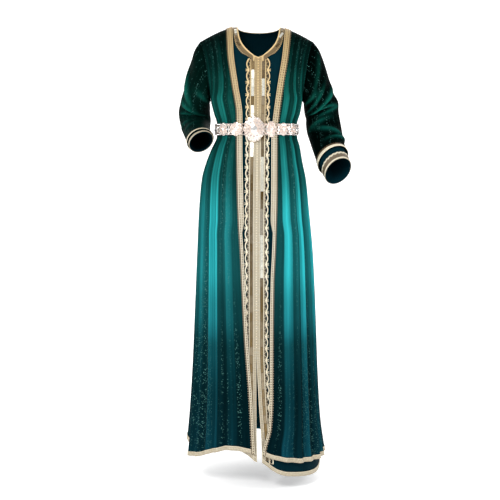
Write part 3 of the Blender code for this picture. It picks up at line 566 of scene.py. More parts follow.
# Both fronts are the same silk; the left front's satin is painted brighter and the right front's
# darker, as painted light and shade.
silk_skirt_right = striped_silk("striped_silk_right", RIGHT_STRIPES, PANEL_WIDTH,
                                satin=(0.020, 0.300, 0.315))
silk_skirt_left = striped_silk("striped_silk_left", LEFT_STRIPES, PANEL_WIDTH,
                               satin=(0.024, 0.370, 0.390))
silk_back_stripes = striped_silk("striped_silk_back", BACK_STRIPES, 2.0 * PANEL_WIDTH)
# The sleeves' satin is painted darker than the skirt's, as painted shade; the right sleeve is
# painted lighter in its troughs and the left darker, with a stronger painted highlight on its
# ridges.
SLEEVE_SATIN, SLEEVE_SHEER = (0.012, 0.190, 0.185), (0.006, 0.100, 0.090)
silk_sleeve = {
    "right": striped_silk("striped_silk_sleeve_right", SLEEVE_STRIPES, 0.40, SLEEVE_PAINTED_LIGHT,
                          SLEEVE_SATIN, SLEEVE_SHEER, 4.2, 0.42),
    "left": striped_silk("striped_silk_sleeve_left", SLEEVE_STRIPES, 0.40, SLEEVE_PAINTED_LIGHT,
                         SLEEVE_SATIN, SLEEVE_SHEER, 4.6, 0.10),
}
print("striped silk made in 5 settings")

# %% [markdown]
# The under-kaftan is a plain satin of a blue so dark that it reads as black. Its inside
# shows at the neck and the hem, so it gets the same weave, with thicker threads here
# and there that change its tone a little.

# %% Plain silk
plain_silk, tree, shader, thread = new_material("plain_dark_silk")
weave = use_group(tree, weave_group, thread, Threads_per_metre=1100.0)
slub = plus(tree, times(tree, weave.outputs["Slub"], 0.8), 0.6)
tree.links.new(blend_colours(tree, 1.0, (0.0010, 0.0150, 0.0220), slub, "MULTIPLY"),
               shader.inputs["Base Color"])
shader.inputs["Roughness"].default_value = 0.52
shader.inputs["Specular IOR Level"].default_value = 0.01
raise_surface(tree, shader, weave.outputs["Height"], 0.00015, 0.5)


# %% [markdown]
# Braid threads are silk wrapped in metal foil. Pale gold is the thread most braids are
# made of, antique gold is the browner ground between the ribs, and the mirror finish
# belongs to the small flat metal bars sewn along the front and the neck. Down the garment
# the thread is painted paler across the middle of the skirt and warmer in the shade at the
# shoulders, as painted light and shade. The "tone" attribute of a stone makes some of
# them browner than others; on a bar it paints its reflection, a pale glint or dark bronze.

# %% Gold finishes
# height, and how pale the thread is painted there: painted light across the middle of the skirt,
# painted shade at the shoulders
BRAID_PAINTED_LIGHT = ((-1.48, 0.8), (-0.95, 0.9), (-0.80, 1.0), (-0.40, 0.9), (-0.20, 0.15),
               (-0.05, 0.0))


def gold_thread(name, pale, warm, brown, roughness, rib):
    """Metal thread: brown at tone 0, and at tone 1 pale below the belt and warm above, as painted
    light that dies away towards the shoulders.
    """
    material, tree, shader, thread = new_material(name)
    braid = use_group(tree, braid_group, thread, Rib=rib)
    tone = add_node(tree, "ShaderNodeAttribute", attribute_name="tone")
    worn = times(tree, calculate(tree, "SUBTRACT", braid.outputs["Wear"], 0.30), 2.0, clamp=True)
    # Painted light by height: the thread paler where the middle of the skirt is lit, warmer and
    # darker at the shoulders.
    light = tone_down_garment(tree, BRAID_PAINTED_LIGHT)
    thread_and_painted_light = blend_colours(tree, light, warm, pale)
    mixed = blend_colours(tree, tone.outputs["Fac"], brown, thread_and_painted_light)
    dulled = blend_colours(tree, 1.0, mixed, (0.84, 0.76, 0.62), "MULTIPLY")
    tree.links.new(blend_colours(tree, worn, dulled, mixed), shader.inputs["Base Color"])
    rough = plus(tree, times(tree, braid.outputs["Wear"], 0.2), roughness - 0.1)
    tree.links.new(rough, shader.inputs["Roughness"])
    metal = calculate(tree, "SUBTRACT", 0.20, times(tree, tone.outputs["Fac"], 0.12))
    tree.links.new(metal, shader.inputs["Metallic"])
    raise_surface(tree, shader, braid.outputs["Height"], 0.00025, 0.7)
    return material


braid_gold = gold_thread("braid_gold", (1.0, 0.97, 0.84), (0.80, 0.61, 0.31),
                         (0.070, 0.040, 0.012), 0.45, 0.0014)


def toned_metal(name, dark, light, roughness, coat=0.0):
    """A metal or stone whose copies differ by their tone attribute."""
    material, tree, shader, thread = new_material(name)
    tone = add_node(tree, "ShaderNodeAttribute", attribute_name="tone")
    place = add_node(tree, "ShaderNodeTexCoord")
    cloud = add_node(tree, "ShaderNodeTexNoise", in_2=420.0, in_3=3.0)
    tree.links.new(place.outputs["Object"], cloud.inputs["Vector"])
    tarnish = plus(tree, times(tree, cloud.outputs["Fac"], 0.5), 0.75)
    colour = blend_colours(tree, tone.outputs["Fac"], dark, light)
    tree.links.new(blend_colours(tree, 1.0, colour, tarnish, "MULTIPLY"),
                   shader.inputs["Base Color"])
    rough = plus(tree, times(tree, cloud.outputs["Fac"], 0.16), roughness)
    tree.links.new(rough, shader.inputs["Roughness"])
    shader.inputs["Metallic"].default_value = 0.9
    shader.inputs["Coat Weight"].default_value = coat
    raise_surface(tree, shader, cloud.outputs["Fac"], 0.0002, 0.3)
    return material


# The bars' colours paint their reflection: dark bronze where no glint is painted, pale gold for a
# painted glint.
bar_mirror = toned_metal("bar_mirror", (0.16, 0.100, 0.032), (1.0, 0.97, 0.84), 0.16)
belt_metal = toned_metal("belt_rose_metal", (0.66, 0.46, 0.38), (0.98, 0.87, 0.79), 0.24)
belt_stone = toned_metal("belt_stone", (0.80, 0.66, 0.60), (1.0, 0.985, 0.97), 0.08, coat=0.4)

# %% [markdown]
# ## Folds of the over-kaftan
# The big folds are the ones of the CAD model, so that the cloth stays on its solid.
# Each leaves the belt and widens on its way to the hem. Real silk adds finer gathers,
# which the belt presses in. They are strongest just above and below it, unevenly
# spaced, and die out over a hand's width.

# %% Fold tables
BELT_DROP = 0.335
FOLD_END_DROP = 1.44

# where at the belt, where at the hem (shares of the panel), half width at the belt,
# half width at the hem, depth in the bodice, depth at the hem
FOLDS = {
    "right": (
        (0.24, 0.20, 0.060, 0.075, 0.0030, 0.008),
        (0.37, 0.35, 0.055, 0.070, 0.0040, 0.012),
        (0.50, 0.49, 0.060, 0.070, 0.0030, 0.009),
        (0.63, 0.64, 0.060, 0.080, 0.0045, 0.014),
        (0.76, 0.78, 0.060, 0.070, 0.0030, 0.022),
        (1.00, 1.00, 0.070, 0.100, 0.0010, 0.021),
    ),
    "left": (
        (0.25, 0.22, 0.060, 0.080, 0.0035, 0.009),
        (0.38, 0.38, 0.055, 0.070, 0.0045, 0.013),
        (0.52, 0.53, 0.060, 0.080, 0.0030, 0.010),
        (0.66, 0.68, 0.060, 0.070, 0.0040, 0.015),
        (0.79, 0.82, 0.055, 0.065, 0.0030, 0.014),
        (1.00, 1.00, 0.060, 0.080, 0.0010, 0.013),
    ),
    "back": (
        (0.00, 0.00, 0.045, 0.050, 0.0010, 0.021),
        (0.18, 0.14, 0.045, 0.050, 0.0040, 0.016),
        (0.28, 0.26, 0.045, 0.050, 0.0030, 0.020),
        (0.39, 0.38, 0.045, 0.055, 0.0045, 0.014),
        (0.50, 0.50, 0.045, 0.050, 0.0040, 0.022),
        (0.61, 0.62, 0.045, 0.055, 0.0040, 0.015),
        (0.72, 0.74, 0.045, 0.050, 0.0030, 0.021),
        (0.82, 0.86, 0.045, 0.050, 0.0040, 0.015),
        (1.00, 1.00, 0.045, 0.050, 0.0010, 0.013),
    ),
}
# drop, share of a fold's bodice depth, share of its hem depth
FOLD_GROWTH = (
    (0.060, 0.0, 0.00),
    (0.200, 0.7, 0.00),
    (0.275, 1.0, 0.00),
    (0.315, 0.3, 0.00),
    (0.357, 0.3, 0.00),
    (0.400, 1.0, 0.12),
    (0.520, 0.8, 0.38),
    (0.800, 0.3, 0.65),
    (1.160, 0.0, 0.85),
    (1.440, 0.0, 1.00),
)
# drop, depth of the fine gathers there
GATHERS = (
    (0.120, 0.0000),
    (0.210, 0.0012),
    (0.285, 0.0030),
    (0.318, 0.0012),
    (0.352, 0.0012),
    (0.385, 0.0038),
    (0.470, 0.0034),
    (0.700, 0.0016),
    (1.100, 0.0009),
    (1.440, 0.0012),
)


def fold_out(which, share, drop):
    """How far the folds of a panel stand out."""
    out = np.zeros(np.broadcast(share, drop).shape)
    fall = ease((drop - BELT_DROP) / (FOLD_END_DROP - BELT_DROP))
    for at_belt, at_hem, width_belt, width_hem, bodice, hem in FOLDS[which]:
        middle = at_belt + (at_hem - at_belt) * fall
        width = width_belt + (width_hem - width_belt) * fall
        away = np.minimum(np.abs(share - middle) / width, 1.0)
        depth = bodice * read_table(FOLD_GROWTH, 1, drop) + hem * read_table(FOLD_GROWTH, 2, drop)
        out += depth * np.cos(away * math.pi / 2.0) ** 2
    return out


def gather_out(which, share, drop):
    """The fine gathers that the belt presses into the silk."""
    count = {"right": 13.0, "left": 14.0, "back": 27.0}[which]
    lead = {"right": 0.3, "left": 1.7, "back": 2.9}[which]
    uneven = (share + 0.018 * np.sin(17.0 * share + lead)
              + 0.010 * np.sin(41.0 * share + 2.0 * lead))
    drift = 0.010 * np.sin(4.0 * drop + 9.0 * share + lead)
    wave = 0.5 + 0.5 * np.cos(2.0 * math.pi * count * (uneven + drift))
    strength = 0.65 + 0.35 * np.sin(23.0 * share + 3.0 * lead)
    flat_ends = ease((share - 0.17) / 0.08) * ease((1.0 - share) / 0.06)
    if which == "back":
        flat_ends = ease(share / 0.03) * ease((1.0 - share) / 0.03)
    return read_table(GATHERS, 1, drop) * wave ** 1.5 * strength * flat_ends


# %% [markdown]
# ## The striped over-kaftan
# Its two fronts hang open from the neck to the hem, and its back is one piece. Each
# panel's free edge and hem come from short tables, and the stripes run down with the
# grain. The rows crowd towards the shoulder, where the cloth turns over it.

# %% Edges of the over-kaftan
GALLOON, SECOND_BRAID, HEM_BRAID = 0.0120, 0.0082, 0.0150
SECOND_BRAID_END, STEP_LENGTH = 0.62, 0.06
SILK, SEAM = 0.0010, 0.0003
HIGH_FOLD, HIGH_GATHER = 0.016, 0.0045

# drop, x of the centre front line, x of the galloon's outer edge right and left
FRONT_LINES = (
    (0.000, 0.0072, -0.0986, 0.1130),
    (0.100, 0.0060, -0.0925, 0.1025),
    (0.193, 0.0050, -0.0790, 0.0874),
    (0.294, 0.0035, -0.0650, 0.0736),
    (0.350, 0.0030, -0.0655, 0.0680),
    (0.560, 0.0008, -0.0624, 0.0670),
    (0.640, 0.0000, -0.0595, 0.0652),
    (0.720, 0.0000, -0.0545, 0.0625),
    (0.830, 0.0000, -0.0495, 0.0576),
    (1.010, 0.0000, -0.0405, 0.0553),
    (1.200, 0.0000, -0.0265, 0.0550),
    (1.300, 0.0005, -0.0215, 0.0500),
    (1.385, 0.0015, -0.0175, 0.0310),
    (1.480, 0.0030, -0.0150, 0.0300),
)
# share of the way from front edge to side seam (or side to side), drop of the hem
OVER_HEM = {
    "right": ((0.0, 1.383), (0.2, 1.372), (0.4, 1.388), (0.65, 1.416), (0.82, 1.425),
              (1.0, 1.385)),
    "left": ((0.0, 1.388), (0.12, 1.404), (0.4, 1.421), (0.8, 1.428), (1.0, 1.430)),
    "back": ((0.0, 1.385), (0.25, 1.415), (0.6, 1.420), (1.0, 1.430)),
}
OVER_NECK_HALF, OVER_NECK_DROP, NECK_CENTRE = 0.0856, 0.030, 0.0072


def braid_width(drop):
    return GALLOON + SECOND_BRAID * (1.0 - ease((drop - SECOND_BRAID_END) / STEP_LENGTH))


def front_edge(side, drop):
    """X of the free edge of an over front."""
    return read_table(FRONT_LINES, 2 if side == RIGHT else 3, drop) - side * braid_width(drop)


def word_of(side):
    return "right" if side == RIGHT else "left"


def ridges(which, share, drop):
    """0 in the troughs of a panel and 1 on its highest ridges."""
    high = fold_out(which, share, drop) / HIGH_FOLD + gather_out(which, share, drop) / HIGH_GATHER
    return np.clip(high, 0.0, 1.0)


def over_front_place(side, share, hem_share):
    """A point of an over front; hem_share is 0 at the shoulder and 1 at the hem."""
    word = word_of(side)
    drop = hem_share * read_table(OVER_HEM[word], 1, share)
    first = angle_of_x(side, front_edge(side, drop), drop)
    angle = first + (edge_angle(drop) - first) * share
    way = body_out(side, FRONT, angle, drop)
    lift = fold_out(word, share, drop) + gather_out(word, share, drop)
    return body_point(side, FRONT, angle, drop) + lift[..., None] * way


def over_back_place(share, hem_share):
    side = np.where(share < 0.5, RIGHT, LEFT)
    free = hem_share * read_table(OVER_HEM["back"], 1, share)
    angle = edge_angle(free) * np.abs(2.0 * share - 1.0)
    x = body_point(side, BACK, angle, free)[..., 0]
    scoop = OVER_NECK_DROP * np.maximum(0.0,
                                        1.0 - ((x - NECK_CENTRE) / OVER_NECK_HALF) ** 2) ** 0.5
    lowered = scoop + free * (1.0 - scoop / YOKE_DROP)
    drop = np.where(free < YOKE_DROP, lowered, free)
    angle = np.where(free < YOKE_DROP, angle_of_x(side, x, drop), angle)
    way = body_out(side, BACK, angle, drop)
    lift = fold_out("back", share, drop) + gather_out("back", share, drop)
    return body_point(side, BACK, angle, drop) + lift[..., None] * way


def even_grid(rows, columns, row_power=1.0):
    """Shares down and across a sheet, crowded towards the top where row_power is over 1."""
    down = np.linspace(0.0, 1.0, rows + 1) ** row_power
    across = np.linspace(0.0, 1.0, columns + 1)
    return np.broadcast_arrays(down[:, None], across[None, :])


# %% Over panels
pieces = {}
down, across = even_grid(150, 84, 1.5)
for side, material in ((RIGHT, silk_skirt_right), (LEFT, silk_skirt_left)):
    word = word_of(side)
    points = over_front_place(side, across, down)
    ways = body_out(side, FRONT, np.full(across.shape, 0.8), np.full(across.shape, 0.5))
    # Where the painted highlight falls: the ridges of the folds and gathers.
    ridge_highlight = ridges(word, across, down * OVER_HEM[word][0][1])
    piece = cloth("silk_front_" + word, points, ways, lengths_uv(points, PANEL_WIDTH), SILK,
                  material, ridge_highlight=ridge_highlight)
    pieces["over_front_" + word] = piece

down, across = even_grid(150, 132, 1.5)
points = over_back_place(across, down)
ways = np.broadcast_to(np.array([0.0, 1.0, 0.0]), points.shape)
pieces["over_back"] = cloth("silk_back", points, ways, lengths_uv(points, 2.0 * PANEL_WIDTH), SILK,
                            silk_back_stripes, ridge_highlight=ridges("back", across, down * 1.4))
print("over panels", {n: len(p.data.polygons) for n, p in pieces.items()})

# %% [markdown]
# ## Sleeves
# A sleeve starts on the armhole and follows the arm through a row of ovals. Reading
# them with a Catmull-Rom curve bends the tube smoothly at the elbow. Creases are added
# where a bent arm pushes the silk together: arcs that bulge across the inside
# of the elbow, and longer soft ridges down from the shoulder.

# %% Sleeve tables
# x and z of the outer edge, x and z of the inner edge, y of the middle, lean, half depth
SLEEVE = {
    "right": (
        (-0.2060, -0.080, -0.1550, -0.2460, 0.006, 0, 0.068),
        (-0.2195, -0.132, -0.1570, -0.2560, 0.022, -8, 0.064),
        (-0.2360, -0.180, -0.1580, -0.2640, 0.044, -14, 0.060),
        (-0.2540, -0.232, -0.1580, -0.2740, 0.068, -14, 0.056),
        (-0.2650, -0.268, -0.1570, -0.2860, 0.088, 0, 0.053),
        (-0.2640, -0.296, -0.1560, -0.3000, 0.092, 22, 0.051),
        (-0.2580, -0.318, -0.1570, -0.3160, 0.078, 45, 0.049),
        (-0.2490, -0.340, -0.1565, -0.3300, 0.048, 60, 0.046),
        (-0.2390, -0.360, -0.1540, -0.3380, 0.010, 60, 0.044),
        (-0.2290, -0.379, -0.1490, -0.3450, -0.030, 56, 0.042),
        (-0.2220, -0.391, -0.1450, -0.3480, -0.062, 52, 0.041),
        (-0.2160, -0.400, -0.1420, -0.3510, -0.090, 50, 0.040),
    ),
    "left": (
        (0.2070, -0.076, 0.1560, -0.2470, 0.004, 0, 0.068),
        (0.2240, -0.118, 0.1580, -0.2560, 0.012, -6, 0.066),
        (0.2390, -0.162, 0.1600, -0.2700, 0.022, -8, 0.063),
        (0.2550, -0.208, 0.1620, -0.2850, 0.032, -6, 0.060),
        (0.2735, -0.240, 0.1660, -0.2980, 0.038, 5, 0.058),
        (0.2760, -0.276, 0.1660, -0.3160, 0.036, 15, 0.056),
        (0.2830, -0.322, 0.1690, -0.3440, 0.020, 28, 0.054),
        (0.2885, -0.366, 0.1790, -0.3780, -0.006, 38, 0.052),
        (0.2915, -0.388, 0.1910, -0.4200, -0.035, 46, 0.050),
        (0.2930, -0.400, 0.2080, -0.4700, -0.066, 52, 0.049),
        (0.3020, -0.434, 0.2270, -0.5056, -0.095, 52, 0.048),
    ),
}
# share of the way down the sleeve, how far the under sleeve lies inside
SLEEVE_INSET = ((0.0, 0.0070), (0.25, 0.0090), (0.40, 0.0140), (0.50, 0.0140), (0.65, 0.0090),
                (1.0, 0.0045))
CUFF_BRAID_SHARE, UNDER_CUFF_SHARE = 0.42, 0.60

# creases: ring, angle of the middle (0 outer, 1/4 turn front), half length in turns,
# slant in rings, half width in rings, height
CREASES = {
    "right": (
        (4.3, 0.22, 0.24, 0.6, 0.30, 0.0085),
        (5.1, 0.27, 0.24, -0.5, 0.26, 0.0070),
        (6.0, 0.25, 0.22, 0.7, 0.30, 0.0075),
        (6.9, 0.30, 0.18, -0.4, 0.26, 0.0050),
        (3.3, 0.16, 0.20, 1.0, 0.36, 0.0060),
        (1.9, 0.34, 0.18, -0.9, 0.36, 0.0055),
        (2.4, 0.08, 0.20, 1.3, 0.40, 0.0060),
        (5.4, 0.72, 0.18, 0.5, 0.36, 0.0060),
        (7.9, 0.10, 0.18, 0.5, 0.26, 0.0040),
        (9.0, 0.20, 0.20, -0.3, 0.22, 0.0030),
        (2.6, 0.78, 0.20, 0.8, 0.40, 0.0060),
    ),
    "left": (
        (4.2, 0.20, 0.26, 0.9, 0.30, 0.0100),
        (5.0, 0.24, 0.24, -0.6, 0.28, 0.0085),
        (3.3, 0.30, 0.22, 0.8, 0.32, 0.0070),
        (5.9, 0.18, 0.20, 0.6, 0.28, 0.0060),
        (2.2, 0.36, 0.18, -0.8, 0.36, 0.0060),
        (1.5, 0.20, 0.20, 1.0, 0.38, 0.0050),
        (6.9, 0.30, 0.22, 0.6, 0.28, 0.0055),
        (7.8, 0.20, 0.24, -0.5, 0.26, 0.0065),
        (8.5, 0.12, 0.24, 0.5, 0.22, 0.0060),
        (4.6, 0.74, 0.18, 0.5, 0.36, 0.0060),
        (6.5, 0.80, 0.20, -0.6, 0.36, 0.0055),
    ),
}


def sleeve_ring(row, side, inset, turn):
    """An oval of a sleeve at angles given in radians from its outer edge."""
    outer_x, outer_z, inner_x, inner_z, y, lean, half_depth = row
    outer = np.array([outer_x, y, outer_z])
    inner = np.array([inner_x, y, inner_z])
    up = unit(outer - inner)
    reach = np.linalg.norm(outer - inner) / 2.0 - inset
    along = np.array([-up[2], 0.0, up[0]]) * -side
    lean = math.radians(lean)
    forward = np.array([0.0, -math.cos(lean), 0.0]) - along * math.sin(lean)
    return ((outer + inner) / 2.0 + up * reach * np.cos(turn)[:, None]
            + forward * (half_depth - inset) * np.sin(turn)[:, None])


def armhole_ring(side, turn, out, raise_share):
    """The armhole at the same angles: down its front, then up its back."""
    drops = np.linspace(0.0, YOKE_DROP, 200)
    ring = np.empty((len(turn), 3))
    for face, chosen in ((FRONT, np.sin(turn) >= 0.0), (BACK, np.sin(turn) < 0.0)):
        place = body_point(side, face, edge_angle(drops), drops * raise_share)
        z = place[:, 2]
        wanted = z[-1] + (z[0] - z[-1]) * (0.5 + 0.5 * np.cos(turn[chosen]))
        drop = np.interp(-wanted, -z, drops)
        angle, lowered = edge_angle(drop), drop * raise_share
        way = body_out(side, face, angle, lowered)
        lift = out(lowered) if callable(out) else np.full(len(drop), out)
        ring[chosen] = body_point(side, face, angle, lowered) + lift[:, None] * way
    return ring


def catmull(rings, at):
    """A smooth curve through rings of points, at places along them."""
    rings = np.concatenate([2.0 * rings[:1] - rings[1:2], rings, 2.0 * rings[-1:] - rings[-2:-1]])
    i = np.clip(np.floor(at).astype(int), 0, len(rings) - 4)
    t = (at - i)[:, None, None]
    a, b, c, d = rings[i], rings[i + 1], rings[i + 2], rings[i + 3]
    return 0.5 * (2.0 * b + (c - a) * t + (2 * a - 5 * b + 4 * c - d) * t ** 2
                  + (3 * b - a - 3 * c + d) * t ** 3)


def sleeve_surface(side, at, turn, inset_table, out, raise_share, creases=()):
    """Points and directions of a sleeve's skin at rings `at` and angles `turn`."""
    table = SLEEVE[word_of(side)]
    rings = [armhole_ring(side, turn, out, raise_share)]
    rings[0][:, 0] += side * SEAM
    for number, row in enumerate(table):
        down = number / (len(table) - 1)
        inset = float(read_table(inset_table, 1, down)) if inset_table else 0.0
        rings.append(sleeve_ring(row, side, inset, turn))
    points = catmull(np.array(rings), at)
    middle = points[:, :-1].mean(1, keepdims=True)
    ways = grid_ways(points, True)
    if (ways * (points - middle)).sum() < 0.0:
        ways = -ways
    lift = np.zeros(points.shape[:2])
    if creases:
        for ring, centre, half_length, slant, half_width_, height in creases:
            off = (turn / (2.0 * math.pi) - centre + 0.5) % 1.0 - 0.5
            window = np.cos(np.minimum(np.abs(off) / half_length, 1.0) * math.pi / 2.0) ** 2
            line = ring + slant * off / half_length
            away = (at[:, None] - line[None, :]) / half_width_
            lift += height * np.exp(-away ** 2) * window[None, :]
        points = points + lift[..., None] * ways
        ways = grid_ways(points, True)
        if (ways * (points - middle)).sum() < 0.0:
            ways = -ways
    # The last value marks the crease ridges that get the painted highlight.
    return points, ways, np.clip(lift / 0.009, 0.0, 1.0) ** 1.6


# %% Over sleeves
def over_sleeve_end(word):
    """The over sleeve stops one ring before the under sleeve."""
    return float(len(SLEEVE[word]) - 1)


full_turn = np.linspace(0.0, 2.0 * math.pi, 85)
for side, word in SIDES:
    at = np.linspace(0.0, over_sleeve_end(word), 117)
    points, ways, ridge_highlight = sleeve_surface(side, at, full_turn, None, SILK, 1.0, CREASES[word])
    piece = cloth("silk_sleeve_" + word, points, ways, lengths_uv(points), SILK, silk_sleeve[word],
                  True, ridge_highlight)
    pieces["over_sleeve_" + word] = piece
print("sleeves", [len(pieces["over_sleeve_" + w].data.polygons) for w in ("right", "left")])

# %% [markdown]
# ## The plain under-kaftan
# It follows the same surface a few millimetres further in. Its front closes edge to
# edge from the point of the neck, and opens in a slit low down, where the left front
# swings away. Its hem is longer than the over-kaftan's on the left.

# %% Under tables
LAYER_GAP = (
    (0.000, 0.0028), (0.005, 0.0034), (0.030, 0.0038), (0.120, 0.0040),
    (0.320, 0.0032), (0.400, 0.0050), (0.700, 0.0075), (1.500, 0.0080),
)
SLIT = ((0.000, 0.0), (1.045, 0.0), (1.200, 0.0060), (1.350, 0.0150), (1.480, 0.0180))
UNDER_HEM = {
    "right": ((0.0, 1.412), (0.08, 1.385), (0.3, 1.356), (1.0, 1.362)),
    "left": ((0.0, 1.414), (0.14, 1.452), (0.25, 1.464), (0.7, 1.477), (1.0, 1.464)),
    "back": ((0.0, 1.362), (0.5, 1.400), (1.0, 1.464)),
}
UNDER_RAISE = 0.925
UNDER_NECK_HALF, UNDER_NECK_DROP, UNDER_REACH, NECK_BLEND = 0.070, 0.014, 0.178, 0.11
# distance from the centre line, drop of the neck edge there
NECK_EDGE = (
    (0.0000, 0.1080), (0.0125, 0.1030), (0.0240, 0.0940), (0.0365, 0.0825), (0.0475, 0.0700),
    (0.0570, 0.0550), (0.0640, 0.0350), (0.0670, 0.0200), (0.0683, 0.0110), (0.0700, 0.0000),
)


def centre_line(side, drop):
    slit = read_table(SLIT, 1, drop) if side == LEFT else 0.0
    return read_table(FRONT_LINES, 1, drop) + slit + side * 0.5 * SEAM


def under_in(drop):
    return -read_table(LAYER_GAP, 1, drop)


def under_front_place(side, share, hem_share):
    """A point of an under front; share 0 is the centre line and 1 the side seam."""
    word = word_of(side)
    hem = read_table(UNDER_HEM[word], 1, share)
    free = hem_share * hem
    spread = 0.5 * (1.0 - ease(free / YOKE_DROP))
    at = share * (1.0 - spread) + spread * share ** 2
    reach = at * UNDER_REACH
    start = np.where(reach < UNDER_NECK_HALF, read_table(NECK_EDGE, 1, reach), 0.0)
    low = YOKE_DROP * UNDER_RAISE
    drop = np.where(free < YOKE_DROP, start + (low - start) * free / YOKE_DROP,
                    low + (free - YOKE_DROP) * (hem - low) / (hem - YOKE_DROP))
    centre = centre_line(side, drop)
    first = angle_of_x(side, centre, drop) * np.where(centre * side >= 0.0, 1.0, -1.0)
    angle = first + (edge_angle(free) - first) * at
    neck = angle_of_x(side, centre + side * reach, drop)
    neck = neck * np.where((centre + side * reach) * side >= 0.0, 1.0, -1.0)
    angle = np.where(reach < NECK_BLEND, neck + (angle - neck) * ease(free / YOKE_DROP), angle)
    place_side = np.where(angle >= 0.0, side, -side)
    angle = np.minimum(np.abs(angle), edge_angle(free))
    way = body_out(place_side, FRONT, angle, drop)
    return body_point(place_side, FRONT, angle, drop) + under_in(drop)[..., None] * way


def under_back_place(share, hem_share):
    side = np.where(share < 0.5, RIGHT, LEFT)
    hem = read_table(UNDER_HEM["back"], 1, share)
    free = hem_share * hem
    low = YOKE_DROP * UNDER_RAISE
    drop = np.where(free < YOKE_DROP, free * UNDER_RAISE,
                    low + (free - YOKE_DROP) * (hem - low) / (hem - YOKE_DROP))
    angle = edge_angle(free) * np.abs(2.0 * share - 1.0)
    x = body_point(side, BACK, angle, drop)[..., 0]
    scoop = UNDER_NECK_DROP * np.maximum(0.0,
                                         1.0 - ((x - NECK_CENTRE) / UNDER_NECK_HALF) ** 2) ** 0.5
    drop = drop + scoop * (1.0 - np.minimum(drop / low, 1.0))
    angle = np.where(free < YOKE_DROP, angle_of_x(side, x, drop), angle)
    way = body_out(side, BACK, angle, drop)
    return body_point(side, BACK, angle, drop) + under_in(drop)[..., None] * way


# %% Under panels and sleeves
down, across = even_grid(150, 56, 1.4)
for side, word in SIDES:
    points = under_front_place(side, across, down)
    ways = body_out(side, FRONT, np.full(across.shape, 0.8), np.full(across.shape, 0.5))
    pieces["under_front_" + word] = cloth("plain_front_" + word, points, ways,
                                          lengths_uv(points), SILK, plain_silk)
down, across = even_grid(140, 84, 1.4)
points = under_back_place(across, down)
ways = np.broadcast_to(np.array([0.0, 1.0, 0.0]), points.shape)
pieces["under_back"] = cloth("plain_back", points, ways, lengths_uv(points), SILK, plain_silk)
for side, word in SIDES:
    at = np.linspace(0.0, float(len(SLEEVE[word])), 101)
    points, ways, ridge_highlight = sleeve_surface(side, at, full_turn[::2], SLEEVE_INSET, under_in,
                                         UNDER_RAISE)
    pieces["under_sleeve_" + word] = cloth("plain_sleeve_" + word, points, ways,
                                           lengths_uv(points), SILK, plain_silk, rolled=True)
print("under pieces made")

# %% [markdown]
# ## Working along a braid
# Every trim lies between two edge lines, so a band object keeps those lines and the way
# out of the cloth. A place on it is then given by the distance along, the distance
# across and the height above. Ribs and ropes are real relief: the band's grid is fine
# enough to rise and fall with them. The "tone" attribute is 1 for pale thread and 0
# for the brown ground.

# %% Band helpers
class Band:
    """A strip between two edge lines on the cloth."""

    def __init__(self, first, last, out):
        self.first, self.last, self.out = first, last, unit(out)
        steps = np.linalg.norm(np.diff((first + last) / 2.0, axis=0), axis=1)
        self.s = np.concatenate([[0.0], np.cumsum(steps)])
        self.length = float(self.s[-1])

    def read(self, rows, s):
        return np.stack([np.interp(s, self.s, rows[:, k]) for k in range(rows.shape[1])], -1)

    def frames(self, s):
        """First edge, way across, way along, way out and width at distances along."""
        first, last = self.read(self.first, s), self.read(self.last, s)
        out = unit(self.read(self.out, s))
        width = np.linalg.norm(last - first, axis=-1)
        across = unit(last - first)
        return first, across, unit(np.cross(out, across)), out, width

    def at(self, s, across, height):
        s, across, height = np.broadcast_arrays(s, across, height)
        first, way, along, out, width = self.frames(s)
        return first + way * across[..., None] + out * height[..., None]


def band_between(lines):
    """A band between two lines, each given as places and the ways out there."""
    (first, first_way), (last, last_way) = lines
    return Band(first, last, first_way + last_way)


def relief_band(name, band, shape, pitch=0.0015, columns=8, base=0.0, wall=0.0008):
    """A band whose height, tone and edge come from a function of place."""
    rows = max(int(round(band.length / pitch)), 4)
    s = np.linspace(0.0, band.length, rows + 1)[:, None]
    a = np.linspace(0.0, 1.0, columns + 1)[None, :]
    width = band.frames(s[:, 0])[4][:, None]
    height, tone, spread = (np.broadcast_to(v, (rows + 1, columns + 1)) for v in shape(s, a))
    across = a * width + spread
    points = band.at(s, across, base + wall + height)
    ways = np.broadcast_to(band.frames(s[:, 0])[3][:, None, :], points.shape)
    uv = np.stack(np.broadcast_arrays(across, s), -1)
    piece = cloth(name, points, ways, uv, wall, braid_gold)
    add_attribute(piece, "tone", np.tile(tone.reshape(-1), len(piece.data.vertices) // tone.size))
    return piece


def template(make, bevel=0.0, **settings):
    """The vertices and faces of one small part, modelled once and then removed."""
    deselect()
    make(location=(0.0, 0.0, 0.0), **settings)
    piece = bpy.context.object
    if "scale" in settings:
        bpy.ops.object.transform_apply(location=False, rotation=False, scale=True)
    if bevel:
        edit_all(bpy.ops.mesh.bevel, offset=bevel, segments=1, affect="EDGES")
    corners = np.array([tuple(v.co) for v in piece.data.vertices])
    faces = [tuple(face.vertices) for face in piece.data.polygons]
    bpy.data.objects.remove(piece)
    return corners, faces


def placed(part, origins, across, along, out, tone=1.0, size=None):
    """Copies of a template in their own directions, as one part of a mesh."""
    corners, faces = part
    count = len(origins)
    size = np.ones((count, 3)) if size is None else np.broadcast_to(size, (count, 3))
    ways = np.stack([across, along, out], 1) * size[:, :, None]
    points = origins[:, None, :] + np.einsum("vk,nkd->nvd", corners, ways)
    n = len(corners)
    all_faces = [tuple(i + n * copy for i in face) for copy in range(count) for face in faces]
    uv = np.tile(corners[:, :2], (count, 1)) + np.repeat(np.arange(count) * 0.013, n)[:, None]
    tones = np.repeat(np.broadcast_to(tone, (count,)), n)
    return points.reshape(-1, 3), all_faces, uv, tones


